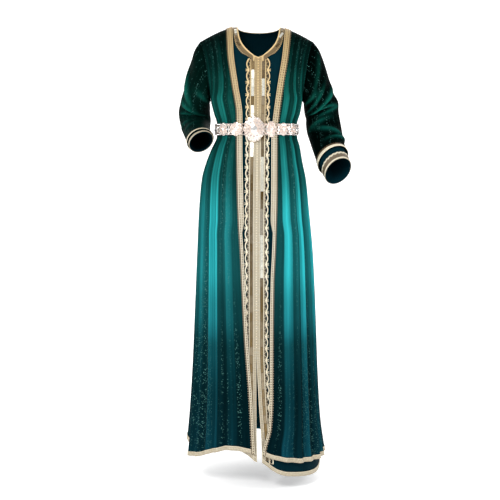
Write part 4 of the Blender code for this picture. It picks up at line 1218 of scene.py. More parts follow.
def ring_faces(rows, sides):
    """The faces between rings of corners, and one on each end."""
    index = np.arange(rows * sides).reshape(rows, sides)
    beside = np.roll(index, -1, axis=1)
    quads = np.stack([index[:-1], beside[:-1], beside[1:], index[1:]], -1).reshape(-1, 4)
    return [tuple(q) for q in quads.tolist()] + [tuple(index[0][::-1]), tuple(index[-1])]


def tube(points, ups, radius, sides=6, tone=1.0):
    """A round cord along a path; its ends are closed."""
    along = unit(np.gradient(points, axis=0))
    across = unit(np.cross(along, ups))
    up = np.cross(across, along)
    turn = np.arange(sides) * 2.0 * math.pi / sides
    sideways, upward = np.cos(turn)[None, :, None], np.sin(turn)[None, :, None]
    ring = sideways * across[:, None] + upward * up[:, None]
    radius = np.broadcast_to(radius, (len(points),))
    corners = points[:, None] + ring * radius[:, None, None]
    rows = len(points)
    faces = ring_faces(rows, sides)
    length = np.concatenate([[0.0], np.cumsum(np.linalg.norm(np.diff(points, axis=0), axis=1))])
    uv = np.stack(np.broadcast_arrays(turn[None, :] * radius[:, None], length[:, None]), -1)
    return corners.reshape(-1, 3), faces, uv.reshape(-1, 2), np.full(rows * sides, float(tone))


def mesh_from(name, parts, material):
    """One object from several parts given as arrays."""
    start, faces = 0, []
    for corners, part_faces, uv, tone in parts:
        faces += [tuple(i + start for i in face) for face in part_faces]
        start += len(corners)
    mesh = bpy.data.meshes.new(name)
    mesh.from_pydata(np.concatenate([p[0] for p in parts]), [], faces)
    piece = bpy.data.objects.new(name, mesh)
    bpy.context.scene.collection.objects.link(piece)
    layer = mesh.uv_layers.new(name=THREAD_UV)
    corner = np.empty(len(mesh.loops), np.int32)
    mesh.loops.foreach_get("vertex_index", corner)
    layer.data.foreach_set("uv", np.concatenate([p[2] for p in parts])[corner].reshape(-1))
    add_attribute(piece, "tone", np.concatenate([p[3] for p in parts]))
    mesh.materials.append(material)
    mesh.update()
    return piece


def recalculated(piece, smooth=True):
    make_active(piece)
    edit_all(bpy.ops.mesh.normals_make_consistent, inside=False)
    if smooth:
        bpy.ops.object.shade_smooth_by_angle(angle=math.radians(45.0))
    return piece


def joined(name, objects):
    """Several objects as one, which keeps the first one's place and the name given."""
    deselect()
    for piece in objects:
        piece.select_set(True)
    bpy.context.view_layer.objects.active = objects[0]
    bpy.ops.object.join()
    piece = bpy.context.object
    piece.name = piece.data.name = name
    return piece


# %% [markdown]
# ## Galloons of the over-kaftan
# The outer galloon is a ladder: two rope edges with rungs between them, and a brown
# toothed edge that lies on the silk. The second braid beside it has the same rungs
# between finer ropes. Both turn over the shoulder and meet a galloon round the neck.

# %% Relief of the braids
LIFT = 0.0004
RUNG = 0.0080


def wave(s, pitch, power=1.0):
    return (0.5 + 0.5 * np.cos(2.0 * math.pi * s / pitch)) ** power


def bump_at(a, centre, width):
    return np.exp(-((a - centre) / width) ** 2)


def galloon_relief(s, a):
    """Rope, rungs, rope, and then brown teeth on the last third."""
    rope = (bump_at(a, 0.08, 0.09) + bump_at(a, 0.60, 0.09)) * (0.7 + 0.3 * wave(s, RUNG / 2.0))
    rung = wave(s, RUNG, 3.0) * bump_at(a, 0.32, 0.24)
    teeth = wave(s, RUNG, 1.2) * ease((a - 0.70) / 0.1)
    height = 0.0010 * np.maximum(rope, 0.8 * rung) + 0.0005 * teeth
    edges = bump_at(a, 0.07, 0.09) + bump_at(a, 0.56, 0.08)
    tone = np.clip(np.maximum(edges, 0.9 * rung), 0.0, 1.0)
    tone = tone * (1.0 - ease((a - 0.63) / 0.05)) + 0.24 * teeth
    spread = (0.0034 * teeth - 0.0022) * ease((a - 0.72) / 0.28)
    return height, tone, spread


def second_relief(s, a):
    rope = (bump_at(a, 0.14, 0.12) + bump_at(a, 0.86, 0.12)) * (0.7 + 0.3 * wave(s, RUNG / 2.0))
    rung = wave(s + RUNG / 2.0, RUNG, 3.0) * bump_at(a, 0.46, 0.28)
    height = 0.0009 * np.maximum(rope, 0.8 * rung)
    edges = bump_at(a, 0.12, 0.13) + bump_at(a, 0.80, 0.12)
    tone = np.clip(np.maximum(edges, 0.9 * rung), 0.0, 1.0)
    return height, tone, 0.0


def front_strip(side, start, end, first_drop, last_drop, steps=260):
    """A band on an open front, between two distances from its free edge."""
    drop = first_drop + (last_drop - first_drop) * np.linspace(0.0, 1.0, steps) ** 1.15
    edge = front_edge(side, drop)
    first, way = on_body(side, FRONT, edge + side * start(drop), drop, np.full(steps, 2.0 * LIFT))
    last, way = on_body(side, FRONT, edge + side * end(drop), drop, np.full(steps, 2.0 * LIFT))
    return Band(first, last, way)


# %% Front galloons
for side, word in SIDES:
    hem_drop = OVER_HEM[word][0][1]
    band = front_strip(side, lambda d: braid_width(d) - GALLOON, braid_width, 0.0, hem_drop)
    pieces["galloon_" + word] = relief_band("galloon_" + word, band, galloon_relief, columns=14)
    band = front_strip(side, lambda d: 0.0 * d, lambda d: braid_width(d) - GALLOON - SEAM, 0.0,
                       SECOND_BRAID_END + 0.7 * STEP_LENGTH)
    pieces["braid_" + word] = relief_band("second_braid_" + word, band, second_relief)
print("galloons", round(band.length, 3), "m for the second braid")


# %% [markdown]
# The back neck galloon follows two half ovals, crowded where they turn over the
# shoulders. The neck band of the under-kaftan's back uses the same helper, further in.

# %% Back neck bands
def neck_arc(half, depth, wider_half, wider_depth, layer_out, steps=120):
    share = np.linspace(0.0, 1.0, steps)
    turn = math.pi * share - 0.42 * np.sin(2.0 * math.pi * share)
    lines = []
    for reach, fall in ((half, depth), (wider_half, wider_depth)):
        x = NECK_CENTRE - reach * np.cos(turn)
        drop = fall * np.sin(turn)
        lines.append(on_body(LEFT, BACK, x, drop, layer_out(drop) + 0.0014))
    return band_between(lines)


both = GALLOON + SECOND_BRAID
band = neck_arc(OVER_NECK_HALF, OVER_NECK_DROP, OVER_NECK_HALF + both, OVER_NECK_DROP + 0.012,
                lambda d: 0.0 * d)
pieces["galloon_neck"] = relief_band("galloon_back_neck", band, galloon_relief)

# %% [markdown]
# ## Hem galloons
# A narrow flat braid binds each hem. It follows the folds, because its edge lines are
# read from the same panels. Its relief is a fine diagonal rib.

# %% Hem braids
def hem_relief(s, a):
    rope = (bump_at(a, 0.12, 0.13) + bump_at(a, 0.88, 0.13)) * (0.75 + 0.25 * wave(s, 0.005))
    rib = wave(s + 0.004 * a, 0.005) * bump_at(a, 0.5, 0.3)
    height = 0.0008 * np.maximum(rope, 0.6 * rib)
    # The lower rope is painted darker than the upper one, as painted shade along the lower edge.
    return height, np.clip(np.maximum(rope * (0.55 + 0.45 * a), 0.30 + 0.5 * rib), 0.0, 1.0), 0.0


def hem_band(place, first_share, table, steps=260):
    share = np.linspace(first_share, 1.0, steps)
    hem = read_table(table, 1, share)
    lower = place(share, np.ones(steps))
    upper = place(share, 1.0 - HEM_BRAID / hem)
    along = np.gradient(lower, axis=0)
    out = unit(np.cross(along, upper - lower))
    middle = np.array([0.0, 0.01, 0.0])
    flip = np.sign(((lower - middle) * out * np.array([1.0, 1.0, 0.0])).sum())
    return Band(lower, upper, out * flip)


# node, piece, place on the panel, hem table, and on a front where the braid starts
FRONT_HEMS = (("over_hem_", "hem_braid_", over_front_place, OVER_HEM, 0.020),
              ("under_hem_", "under_hem_braid_", under_front_place, UNDER_HEM, 0.0))
BACK_HEMS = (("over_hem_", "hem_braid_", over_back_place, OVER_HEM),
             ("under_hem_", "under_hem_braid_", under_back_place, UNDER_HEM))
for side, word in SIDES:
    for layer, name, place, table, start in FRONT_HEMS:
        band = hem_band(lambda q, h, p=place, s=side: p(s, q, h), start, table[word])
        pieces[layer + word] = relief_band(name + word, band, hem_relief, pitch=0.0016,
                                           base=0.0003)
for layer, name, place, table in BACK_HEMS:
    band = hem_band(place, 0.0, table["back"], 420)
    pieces[layer + "back"] = relief_band(name + "back", band, hem_relief, pitch=0.002, base=0.0003)


# %% [markdown]
# ## Cuffs
# Each over sleeve ends in a pale braid with a brown toothed upper edge. The under
# sleeve shows a dark strip beyond it, then a wavy pale line, a brown band and a pale
# rolled edge. Both follow the sleeve's own oval.

# %% Cuff braids
def over_cuff_relief(s, a):
    teeth = wave(s, 0.008, 0.8) * (1.0 - ease(a / 0.30))
    body = ease((a - 0.30) / 0.08)
    rib = wave(s, 0.004)
    rope = bump_at(a, 0.42, 0.08) + bump_at(a, 0.93, 0.08)
    height = 0.0012 * body * np.maximum(0.7 + 0.3 * rib, rope) + 0.0005 * teeth
    return height, body * (0.8 + 0.2 * rope), -0.0020 * teeth


def under_cuff_relief(s, a):
    wavy = bump_at(a + 0.05 * np.sin(2.0 * math.pi * s / 0.013), 0.16, 0.10)
    brown = bump_at(a, 0.50, 0.20)
    edge = bump_at(a, 0.88, 0.10)
    height = 0.0014 * wavy + 0.0010 * brown * (0.7 + 0.3 * wave(s, 0.005)) + 0.0018 * edge
    return height, np.clip(wavy + edge, 0.08, 1.0), 0.0


def cuff_band(side, first, last, inset_table, out, raise_share):
    turn = np.linspace(0.0, 2.0 * math.pi, 145)
    places = np.array([0.0, first, last])
    points, ways, ridge_highlight = sleeve_surface(side, places, turn, inset_table, out, raise_share)
    way = points[1] - points[1].mean(0)
    along = unit(points[2] - points[1])
    way = unit(way - along * (way * along).sum(-1, keepdims=True))
    return Band(points[1], points[2], way)


for side, word in SIDES:
    end = over_sleeve_end(word)
    band = cuff_band(side, end - CUFF_BRAID_SHARE, end, None, SILK, 1.0)
    pieces["over_cuff_" + word] = relief_band("cuff_braid_" + word, band, over_cuff_relief,
                                              columns=12, base=0.0004)
    end = float(len(SLEEVE[word]))
    band = cuff_band(side, end - UNDER_CUFF_SHARE, end, SLEEVE_INSET, under_in, UNDER_RAISE)
    pieces["under_cuff_" + word] = relief_band("under_cuff_braid_" + word, band, under_cuff_relief,
                                               columns=14, base=0.0004)
print("cuff round", round(band.length, 3))


# %% [markdown]
# ## The centre front
# Three strips lie beside each edge of the under-kaftan's front. The inner one is a
# ribbed band, with a row of tiny knotted buttons on the right. Then comes a braid that
# carries narrow bar mirrors end to end, and outermost a looped picot cord.

# %% Centre strips
def centre_strip(side, first, last, tops, last_drop, steps=300):
    """A band beside the centre line, between two distances from it, with a slanted top."""
    lines = []
    for away, top in zip((first, last), tops):
        drop = np.linspace(min(tops), last_drop, steps)
        drop = np.where(drop < top, top - 0.02 * (top - drop), drop)
        x = centre_line(side, drop) + side * away
        lines.append(on_body(side, FRONT, x, drop, under_in(drop) + LIFT))
    return band_between(lines)


def centre_relief(s, a):
    rope = bump_at(a, 0.10, 0.10) + 0.7 * bump_at(a, 0.50, 0.08) + bump_at(a, 0.90, 0.10)
    rib = wave(s, 0.0058) * 0.6
    height = 0.0010 * np.maximum(rope, rib)
    tone = np.clip(0.04 + 0.90 * rope + 0.35 * rib, 0.0, 1.0)
    return height, tone, 0.0


def ground_relief(s, a):
    rib = wave(s + 0.002 * np.sin(40.0 * a), 0.004) * 0.4
    return 0.0005 * rib + 0.0 * a, 0.02 + 0.22 * rib + 0.0 * a, 0.0


BAR_LENGTH, BAR_WIDTH, BAR_THICK = 0.0272, 0.0094, 0.0012
bar = template(bpy.ops.mesh.primitive_cube_add, bevel=0.00035, size=1.0,
               scale=(BAR_WIDTH, BAR_LENGTH, BAR_THICK))
knot = template(bpy.ops.mesh.primitive_uv_sphere_add, segments=8, ring_count=5, radius=0.0019)
# drops between which the bars get a painted glint, and how bright it is, on each side; the other
# bars are painted dark bronze
PAINTED_GLINT_BARS = {
    "right": ((0.150, 0.246, 1.0), (0.272, 0.306, 1.0), (0.370, 0.424, 1.0)),
    "left": ((0.174, 0.248, 1.0), (0.428, 0.550, 0.95), (0.608, 0.683, 0.45), (0.683, 0.828, 1.0)),
}


def bars_on(band, first_s, pitch, tones, length_scale=1.0, width_scale=1.0, height=0.0017):
    s = first_s + pitch * np.arange(len(tones))
    first, across, along, out, width = band.frames(s)
    origin = first + across * (width / 2.0)[:, None] + out * height
    size = np.broadcast_to([width_scale, length_scale, 1.0], (len(s), 3))
    return placed(bar, origin, across, along, out, np.array(tones), size)


rng = np.random.default_rng(11)
# drops at which the centre band, the mirror strip and the picot cord end
STRIP_END = {"right": (1.408, 1.394, 1.379), "left": (1.405, 1.408, 1.418)}
for side, word in SIDES:
    band = centre_strip(side, 0.0004, 0.0115, (0.1082, 0.1036), STRIP_END[word][0])
    ribbed = relief_band("centre_band_" + word, band, centre_relief, pitch=0.0017, columns=10)
    if side == RIGHT:
        s = np.arange(0.004, band.length - 0.37, 0.0088)
        first, across, along, out, width = band.frames(s)
        knots = mesh_from("knots", [placed(knot, first + out * 0.0022, across, along, out, 0.9)],
                          braid_gold)
        ribbed = joined("centre_band_" + word, [ribbed, recalculated(knots)])
    pieces["centre_band_" + word] = ribbed
    top = 0.1205
    band = centre_strip(side, 0.0119, 0.0219, (top, 0.1120), STRIP_END[word][1])
    ground = relief_band("mirror_ground_" + word, band, ground_relief, pitch=0.002, columns=5)
    pitch = BAR_LENGTH + 0.0007
    count = int((band.length - 0.01) / pitch)
    middles = top + 0.018 + pitch * np.arange(count)
    # Painted reflection: dark bronze bars, with a painted glint on those in the listed spans.
    tones = 0.02 + 0.14 * rng.random(count)
    for low, high, glint in PAINTED_GLINT_BARS[word]:
        tones[(middles > low) & (middles < high)] = glint
    bars = mesh_from("bars", [bars_on(band, 0.018, pitch, tones)], bar_mirror)
    pieces["mirror_strip_" + word] = joined("mirror_strip_" + word,
                                            [ground, recalculated(bars, False)])


# %% [markdown]
# The picot braid has a straight inner cord and an outer one that swings out in arcs
# 39 millimetres long. A thinner thread crosses between them and leaves two small
# eyes in each arc, and a pair of short spurs stands at every joint.

# %% Picot braids
ARC = 0.039


def eye_ground(s, a):
    flat = 0.0 * s + 0.0 * a
    pinch = 1.0 - np.abs(np.sin(math.pi * s / ARC))
    return flat, flat + 0.04, -0.0040 * a * pinch


def picot(side, word):
    band = centre_strip(side, 0.0222, 0.0370, (0.1150, 0.1060), STRIP_END[word][2])
    s = np.linspace(0.0, band.length, int(band.length / ARC * 18))
    swing = np.abs(np.sin(math.pi * s / ARC)) ** 0.8
    ups = band.frames(s)[3]
    parts = [tube(band.at(s, 0.0064 + 0.0076 * swing, 0.0018), ups, 0.0018, 6, 1.0),
             tube(band.at(s, 0.0013, 0.0013), ups, 0.0012, 6, 0.95)]
    fine = np.linspace(0.0, band.length, int(band.length / ARC * 36))
    cross = 0.0056 - 0.0040 * np.cos(4.0 * math.pi * fine / ARC)
    parts.append(tube(band.at(fine, cross, 0.0016), band.frames(fine)[3], 0.00080, 5, 0.6))
    reach = np.linspace(0.0, 1.0, 5)
    for number in range(1, int(band.length / ARC) + 1):
        for lean in (-1.0, 1.0):
            away = 0.0010 + 0.0020 * reach ** 1.5
            place = np.clip(number * ARC + lean * away, 0.0, band.length)
            path = band.at(place, 0.0072 + 0.0102 * reach, 0.0014 - 0.0002 * reach)
            parts.append(tube(path, band.frames(place)[3], 0.0016 * (1.0 - 0.2 * reach), 5, 1.0))
    cords = recalculated(mesh_from("cords", parts, braid_gold))
    inner = Band(band.at(band.s, 0.0, 0.0), band.at(band.s, 0.0078, 0.0), band.out)
    ground = relief_band("ground", inner, eye_ground, pitch=0.004, columns=3, wall=0.0005)
    return joined("picot_" + word, [ground, cords])


for side, word in SIDES:
    pieces["picot_braid_" + word] = picot(side, word)
print("picot faces", len(pieces["picot_braid_left"].data.polygons))

# %% [markdown]
# ## The neck band
# A brown-gold band runs from each shoulder to the point of the neck. A pale rolled
# piping binds its inner edge, the outer edge is scalloped, and bar mirrors lie along
# its middle. The same band closes round the back.

# %% Neck bands
NECK_BAND = (
    (0.0700, 0.0000, 0.0843, 0.0000), (0.0698, 0.0018, 0.0842, 0.0018),
    (0.0692, 0.0050, 0.0838, 0.0050), (0.0683, 0.0110, 0.0831, 0.0110),
    (0.0670, 0.0200, 0.0822, 0.0210), (0.0640, 0.0350, 0.0790, 0.0420),
    (0.0570, 0.0550, 0.0725, 0.0660), (0.0475, 0.0700, 0.0630, 0.0820),
    (0.0365, 0.0825, 0.0530, 0.0930), (0.0240, 0.0940, 0.0450, 0.0975),
    (0.0125, 0.1030, 0.0412, 0.0988), (0.0125, 0.1215, 0.0375, 0.1006),
)


def neck_relief(s, a):
    piping = bump_at(a, 0.07, 0.08)
    scallop = wave(s, 0.0070, 0.7) * ease((a - 0.72) / 0.15)
    rib = wave(s, 0.0035) * bump_at(a, 0.45, 0.3)
    height = 0.0016 * piping + 0.0004 * rib + 0.0008 * scallop
    tone = np.clip(piping * 1.2 + 0.04 + 0.20 * rib + 0.50 * scallop, 0.0, 1.0)
    return height, tone, (0.0018 * scallop - 0.0014) * ease((a - 0.8) / 0.2)


def neck_front(side, steps=150):
    table = np.array(NECK_BAND).reshape(-1, 2, 2)
    rows = catmull(table, np.linspace(0.0, len(table) - 1.0, steps))
    lines = []
    for edge in (0, 1):
        drop = np.maximum(rows[:, edge, 1], 0.0)
        x = centre_line(side, drop) + side * rows[:, edge, 0]
        lines.append(on_body(side, FRONT, x, drop, under_in(drop) + 0.0014))
    return band_between(lines)


# distances along the band of its bars, with their tones (1 a painted glint, near 0 dark bronze)
# and lengths (shares of a bar)
NECK_BARS = {
    "right": ((0.036, 1.0, 0.36), (0.050, 1.0, 0.48), (0.063, 0.5, 0.30), (0.084, 0.1, 0.64),
              (0.104, 0.05, 0.64)),
    "left": ((0.036, 0.1, 0.60), (0.062, 1.0, 0.98), (0.088, 0.1, 0.64), (0.108, 0.05, 0.64)),
}
for side, word in SIDES:
    band = neck_front(side)
    strip = relief_band("neck_band_" + word, band, neck_relief, pitch=0.0012, columns=12)
    reach = np.concatenate([np.linspace(0.0698, 0.0671, 12), np.linspace(0.066, 0.0002, 90)])
    edge_drop = np.where(reach > 0.0699, 0.0, read_table(NECK_EDGE, 1, reach))
    path, way = on_body(side, FRONT, centre_line(side, edge_drop) + side * reach, edge_drop,
                        under_in(edge_drop) + 0.0024)
    piping = recalculated(mesh_from("piping", [tube(path, way, 0.0016, 7)], braid_gold))
    parts = [bars_on(band, s, 0.0, [tone], long, 0.85) for s, tone, long in NECK_BARS[word]]
    bars = mesh_from("neck_bars", parts, bar_mirror)
    pieces["neck_band_" + word] = joined("neck_band_" + word,
                                         [strip, piping, recalculated(bars, False)])
band = neck_arc(UNDER_NECK_HALF, UNDER_NECK_DROP, 0.0835, 0.0275, under_in)
pieces["neck_band_back"] = relief_band("neck_band_back", band, neck_relief, pitch=0.0015,
                                       columns=12)

# %% [markdown]
# ## The jewelled belt
# The belt is cast metalwork in a rose-gold colour, set with clear stones. Its round
# strap is openwork: oval links with a stone in each, between two thin rails. On the
# front stand a large scalloped medallion and five smaller florets. A few modelled
# stones are copied many times, which keeps each copy to a few dozen faces.

# %% Belt path
def belt_path(height, out, steps=480):
    turn = np.linspace(0.0, 2.0 * math.pi, steps)
    side = np.where(np.sin(turn) < 0.0, RIGHT, LEFT)
    angle = np.arcsin(np.clip(np.abs(np.sin(turn)), 0.0, 1.0))
    drop = np.full(steps, BELT_DROP)
    rows = np.empty((steps, 3))
    ways = np.empty((steps, 3))
    for face, chosen in ((FRONT, np.cos(turn) >= 0.0), (BACK, np.cos(turn) < 0.0)):
        rows[chosen] = body_point(side[chosen], face, angle[chosen], drop[chosen])
        ways[chosen] = body_out(side[chosen], face, angle[chosen], drop[chosen])
    ways[:, 2] = 0.0
    ways = unit(ways)
    rows = rows + out * ways
    rows[:, 2] = -BELT_DROP + height
    return rows, ways


BELT_HEIGHT, BELT_OUT = 0.040, 0.0028
low, belt_ways = belt_path(-0.5 * BELT_HEIGHT, BELT_OUT + 0.0012)
high, belt_ways = belt_path(0.5 * BELT_HEIGHT, BELT_OUT + 0.0012)
belt_band = Band(low, high, belt_ways)


def belt_s(x):
    """Distance along the belt of a place on its front."""
    middle = (belt_band.first + belt_band.last) / 2.0
    away = np.abs(middle[:, 0] - x) + np.where(middle[:, 1] > 0.0, 10.0, 0.0)
    return float(belt_band.s[int(np.argmin(away))])


stone = template(bpy.ops.mesh.primitive_cone_add, vertices=8, radius1=0.5, radius2=0.27,
                 depth=0.34)
print("belt", round(belt_band.length, 3), "m round")


# %% [markdown]
# The strap's links repeat every 21 millimetres all the way round. Each link is an
# oval ring with one large stone and four small ones. The two rails are thin tubes.

# %% Belt strap
def ring_on(band, s, across, height, half_s, half_across, radius, sides=5, steps=20, tone=0.6):
    turn = np.linspace(0.0, 2.0 * math.pi, steps)
    path = band.at(s + half_s * np.cos(turn), across + half_across * np.sin(turn),
                   np.full(steps, height))
    return tube(path, band.frames(np.full(steps, s))[3], radius, sides, tone)


def stones_on(band, s, across, height, size, tone):
    fields = np.broadcast_arrays(s, across, size, tone)
    s, across, size, tone = (np.asarray(v, float) for v in fields)
    first, way, along, out, width = band.frames(s)
    origin = first + way * across[:, None] + out * height
    return placed(stone, origin, way, along, out, tone, np.stack([size] * 3, -1))


LINK_LENGTH, RAIL_INSET = 0.021, 0.0035
middle = BELT_HEIGHT / 2.0
metal, stones = [], []
count = int(round(belt_band.length / LINK_LENGTH))
pitch = belt_band.length / count
places = pitch * (np.arange(count) + 0.5)
for s in places:
    if 0.02 < s < belt_band.length - 0.02:
        metal.append(ring_on(belt_band, s, middle, 0.0012, 0.0090, 0.0138, 0.0017))
metal.append(tube(belt_band.at(belt_band.s, RAIL_INSET, 0.0008), belt_ways, 0.0015, 6, 0.7))
metal.append(tube(belt_band.at(belt_band.s, BELT_HEIGHT - RAIL_INSET, 0.0008), belt_ways, 0.0015,
                  6, 0.7))
bead_s = np.arange(0.004, belt_band.length - 0.004, 0.0053)
for edge in (RAIL_INSET, BELT_HEIGHT - RAIL_INSET):
    stones.append(stones_on(belt_band, bead_s, edge, 0.0026, 0.0042,
                            0.5 + 0.5 * rng.random(len(bead_s))))
stones.append(stones_on(belt_band, places, middle, 0.0028, 0.0120, 0.9))
for off_s, off_a in ((0.0, 0.0088), (0.0, -0.0088), (0.0094, 0.0045), (0.0094, -0.0045)):
    stones.append(stones_on(belt_band, np.clip(places + off_s, 0.0, belt_band.length),
                            middle + off_a, 0.0022,
                            0.0064, 0.4 + 0.6 * rng.random(count)))
strap_metal = recalculated(mesh_from("strap_metal", metal, belt_metal))
strap_stones = recalculated(mesh_from("strap_stones", stones, belt_stone), False)
pieces["belt_strap"] = joined("belt_strap", [strap_metal, strap_stones])


# %% [markdown]
# An ornament is a scalloped plate that rises towards its middle, with two thin wire
# rings, rows of stones between them, and a large cabochon at its centre.

# %% Belt ornaments
# x, half width, half height, thickness, scallops
ORNAMENTS = {
    "belt_floret_1": (-0.1060, 0.0180, 0.0210, 0.0045, 8),
    "belt_floret_2": (-0.0660, 0.0210, 0.0220, 0.0055, 8),
    "belt_medallion": (-0.0070, 0.0340, 0.0410, 0.0085, 12),
    "belt_floret_3": (0.0480, 0.0150, 0.0270, 0.0055, 6),
    "belt_floret_4": (0.0860, 0.0170, 0.0210, 0.0055, 8),
    "belt_floret_5": (0.1170, 0.0130, 0.0210, 0.0045, 6),
}
cabochon = template(bpy.ops.mesh.primitive_uv_sphere_add, segments=14, ring_count=8, radius=0.5)


def ornament(name, x, half_x, half_z, thick, scallops):
    s0 = belt_s(x)
    first, across, along, out, width = belt_band.frames(np.array([s0]))
    up, out = across[0], out[0]
    side = unit(np.cross(up, out))
    base = first[0] + up * middle + out * (0.0006 + SEAM)

    def at(turn, share, height):
        turn, share, height = np.broadcast_arrays(turn, share, height)
        return (base + (half_x * share * np.cos(turn))[..., None] * side
                + (half_z * share * np.sin(turn))[..., None] * up + (thick * height)[...,
                                                                                     None] * out)

    steps = 6 * scallops
    turn = np.linspace(0.0, 2.0 * math.pi, steps, endpoint=False)
    scallop = 1.0 - 0.11 * (1.0 - np.abs(np.cos(0.5 * scallops * turn)))
    rings = [at(turn, scallop, 0.0), at(turn, scallop, 0.30), at(turn, 0.93 * scallop, 0.42),
             at(turn, 0.74, 0.46), at(turn, 0.70, 0.66), at(turn, 0.44, 0.74),
             at(turn, 0.40, 0.92),
             at(turn, 0.05, 1.0)]
    corners = np.concatenate(rings)
    faces = ring_faces(len(rings), steps)
    plate = (corners, faces, corners[:, [0, 2]], np.full(len(corners), 0.75))
    metal = [plate]
    for share, height, radius in ((0.72, 0.62, 0.0011), (0.42, 0.90, 0.0010)):
        loop = np.linspace(0.0, 2.0 * math.pi, 49)
        path = at(loop, share, height)
        metal.append(tube(path, np.broadcast_to(out, path.shape), radius, 5, 0.4))
    gems = []
    big = half_x > 0.03
    rows = ((0.86, 0.50, scallops, 0.0062), (0.57, 0.78, scallops, 0.0058)) if not big else (
        (0.88, 0.50, 2 * scallops, 0.0068), (0.72, 0.66, 2 * scallops, 0.0046),
        (0.56, 0.78, scallops, 0.0085))
    for share, height, number, size in rows:
        places = np.linspace(0.0, 2.0 * math.pi, number, endpoint=False)
        spot = at(places, share, height)
        frames = [np.broadcast_to(v, spot.shape) for v in (side, up, out)]
        gems.append(placed(stone, spot, *frames, 0.45 + 0.55 * rng.random(number),
                           np.full((number, 3), size)))
    spot = at(0.0, 0.0, 0.92)[None]
    frames = [np.broadcast_to(v, spot.shape) for v in (side, up, out)]
    centre = 0.46 * half_x * 2.0 * (0.72 if big else 0.62)
    gems.append(placed(cabochon, spot, *frames, 0.95, np.array([[centre, centre * 1.1, 0.0055]])))
    shell = recalculated(mesh_from(name + "_metal", metal, belt_metal))
    set_stones = recalculated(mesh_from(name + "_stones", gems, belt_stone), False)
    return joined(name, [shell, set_stones])


for name, sizes in ORNAMENTS.items():
    pieces[name] = ornament(name, *sizes)
print("belt faces", sum(len(p.data.polygons) for n, p in pieces.items() if n.startswith("belt")))

# %% [markdown]
# ## Floor and light
# The floor is one pale sheet that curves up behind the garment into a wall, as in a
# photographer's studio, so that no line shows between them. Its paint glows a little,
# like a backdrop with its own lamps. The soft key lamp stands in front, high and to
# one side, because light that comes from one way shows the folds of a dark silk best.

# %% Floor and lights
turn = np.linspace(0.0, math.pi / 2.0, 24)
floor_y = np.concatenate([[-12.0, 0.0], 2.6 + 1.4 * np.sin(turn), [4.0]])
floor_z = np.concatenate([[0.0, 0.0], 1.4 - 1.4 * np.cos(turn), [14.0]])
FLOOR_DROP = 1.516
floor_x = np.linspace(-16.0, 16.0, 9)
sheet_points = np.stack(np.broadcast_arrays(floor_x[None, :], floor_y[:, None],
                                            floor_z[:, None] - FLOOR_DROP), -1)
floor = shaped_grid("floor", sheet_points, sheet_points[..., :2])
bpy.ops.object.shade_smooth()
floor_paint, tree, shader, thread = new_material("pale_floor")
place = add_node(tree, "ShaderNodeTexCoord")
mottle = add_node(tree, "ShaderNodeTexNoise", in_2=1.5, in_3=2.0)
tree.links.new(place.outputs["Object"], mottle.inputs["Vector"])
tree.links.new(blend_colours(tree, mottle.outputs["Fac"], (0.90, 0.90, 0.90), (0.93, 0.93, 0.93)),
               shader.inputs["Base Color"])
shader.inputs["Roughness"].default_value = 0.95
shader.inputs["Emission Color"].default_value = (1.0, 1.0, 1.0, 1.0)
shader.inputs["Emission Strength"].default_value = 0.42
floor.data.materials.append(floor_paint)


def soft_lamp(name, place, aim, size, power):
    data = bpy.data.lights.new(name, "AREA")
    data.size = size
    data.energy = power
    lamp = bpy.data.objects.new(name, data)
    lamp.location = place
    way = np.array(aim, float) - np.array(place, float)
    lamp.rotation_euler = (math.atan2(math.hypot(way[0], way[1]), -way[2]), 0.0,
                           math.atan2(way[1], way[0]) - math.pi / 2.0)
    bpy.context.scene.collection.objects.link(lamp)


soft_lamp("front_lamp", (-1.1, -3.0, 1.5), (0.0, 0.0, -0.65), 0.9, 88.0)
soft_lamp("left_lamp", (2.8, -1.4, 0.9), (0.0, 0.0, -0.7), 1.0, 34.0)
soft_lamp("right_lamp", (-3.2, -0.4, 0.6), (0.0, 0.0, -0.7), 1.4, 22.0)
soft_lamp("back_lamp", (0.4, 3.4, 1.2), (0.0, 0.0, -0.6), 2.4, 36.0)
world = bpy.data.worlds.new("studio")
world.use_nodes = True
world.node_tree.nodes["Background"].inputs["Color"].default_value = (1.0, 1.0, 1.0, 1.0)
world.node_tree.nodes["Background"].inputs["Strength"].default_value = 0.50
bpy.context.scene.world = world
bpy.context.scene.view_settings.view_transform = "Standard"

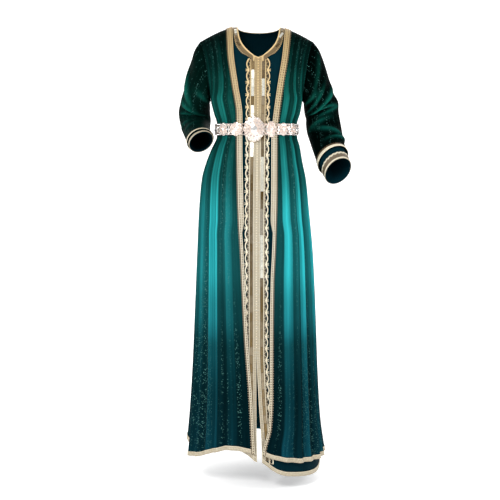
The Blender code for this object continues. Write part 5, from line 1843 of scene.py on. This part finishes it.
# %% [markdown]
# ## Placing the pieces
# Every piece takes the place of its CAD node and rides on the one body. The sheets'
# cut sizes are listed below, and each sheet's drawn area is printed beside its cut.

for node, piece in pieces.items():
    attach(piece, "root")
    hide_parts(node)


# %% [markdown]
# A sheet's flat size is the cut of what shows: its widest width and its full length,
# and all round on a sleeve. The area is given too, because a panel narrows to the
# shoulder and a sleeve to the wrist, so it fills only part of that rectangle.

# %% Sheets
# width, length and area of the cut, how it is held, what it lies on, its trims
SHEETS = {
    "over_front_right": (0.400, 1.450, 0.355, "gathered", ("under_front_right", "belt_strap"),
                         ("galloon_right", "braid_right", "over_hem_right")),
    "over_front_left": (0.370, 1.450, 0.336, "gathered", ("under_front_left", "belt_strap"),
                        ("galloon_left", "braid_left", "over_hem_left")),
    "over_back": (0.760, 1.430, 0.800, "gathered", ("under_back", "belt_strap"),
                  ("galloon_neck", "over_hem_back")),
    "over_sleeve_right": (0.485, 0.475, 0.123, "draped", ("under_sleeve_right",),
                          ("over_cuff_right",)),
    "over_sleeve_left": (0.485, 0.430, 0.130, "draped", ("under_sleeve_left",),
                         ("over_cuff_left",)),
    "under_front_right": (0.330, 1.380, 0.335, "hung", (),
                          ("centre_band_right", "mirror_strip_right", "picot_braid_right",
                           "neck_band_right",
                           "under_hem_right")),
    "under_front_left": (0.320, 1.480, 0.352, "hung", (),
                         ("centre_band_left", "mirror_strip_left", "picot_braid_left",
                          "neck_band_left",
                          "under_hem_left")),
    "under_back": (0.640, 1.460, 0.690, "hung", (), ("neck_band_back", "under_hem_back")),
    "under_sleeve_right": (0.440, 0.495, 0.107, "draped", (), ("under_cuff_right",)),
    "under_sleeve_left": (0.440, 0.470, 0.121, "draped", (), ("under_cuff_left",)),
}


def cloth_area(piece):
    """Half the surface of a thin wall, which is the area of its cloth."""
    return sum(face.area for face in piece.data.polygons) / 2.0


for node, (width, length, area, held, under, trims) in SHEETS.items():
    print(node, "drawn area", round(cloth_area(pieces[node]), 4), "of a cut of", area)
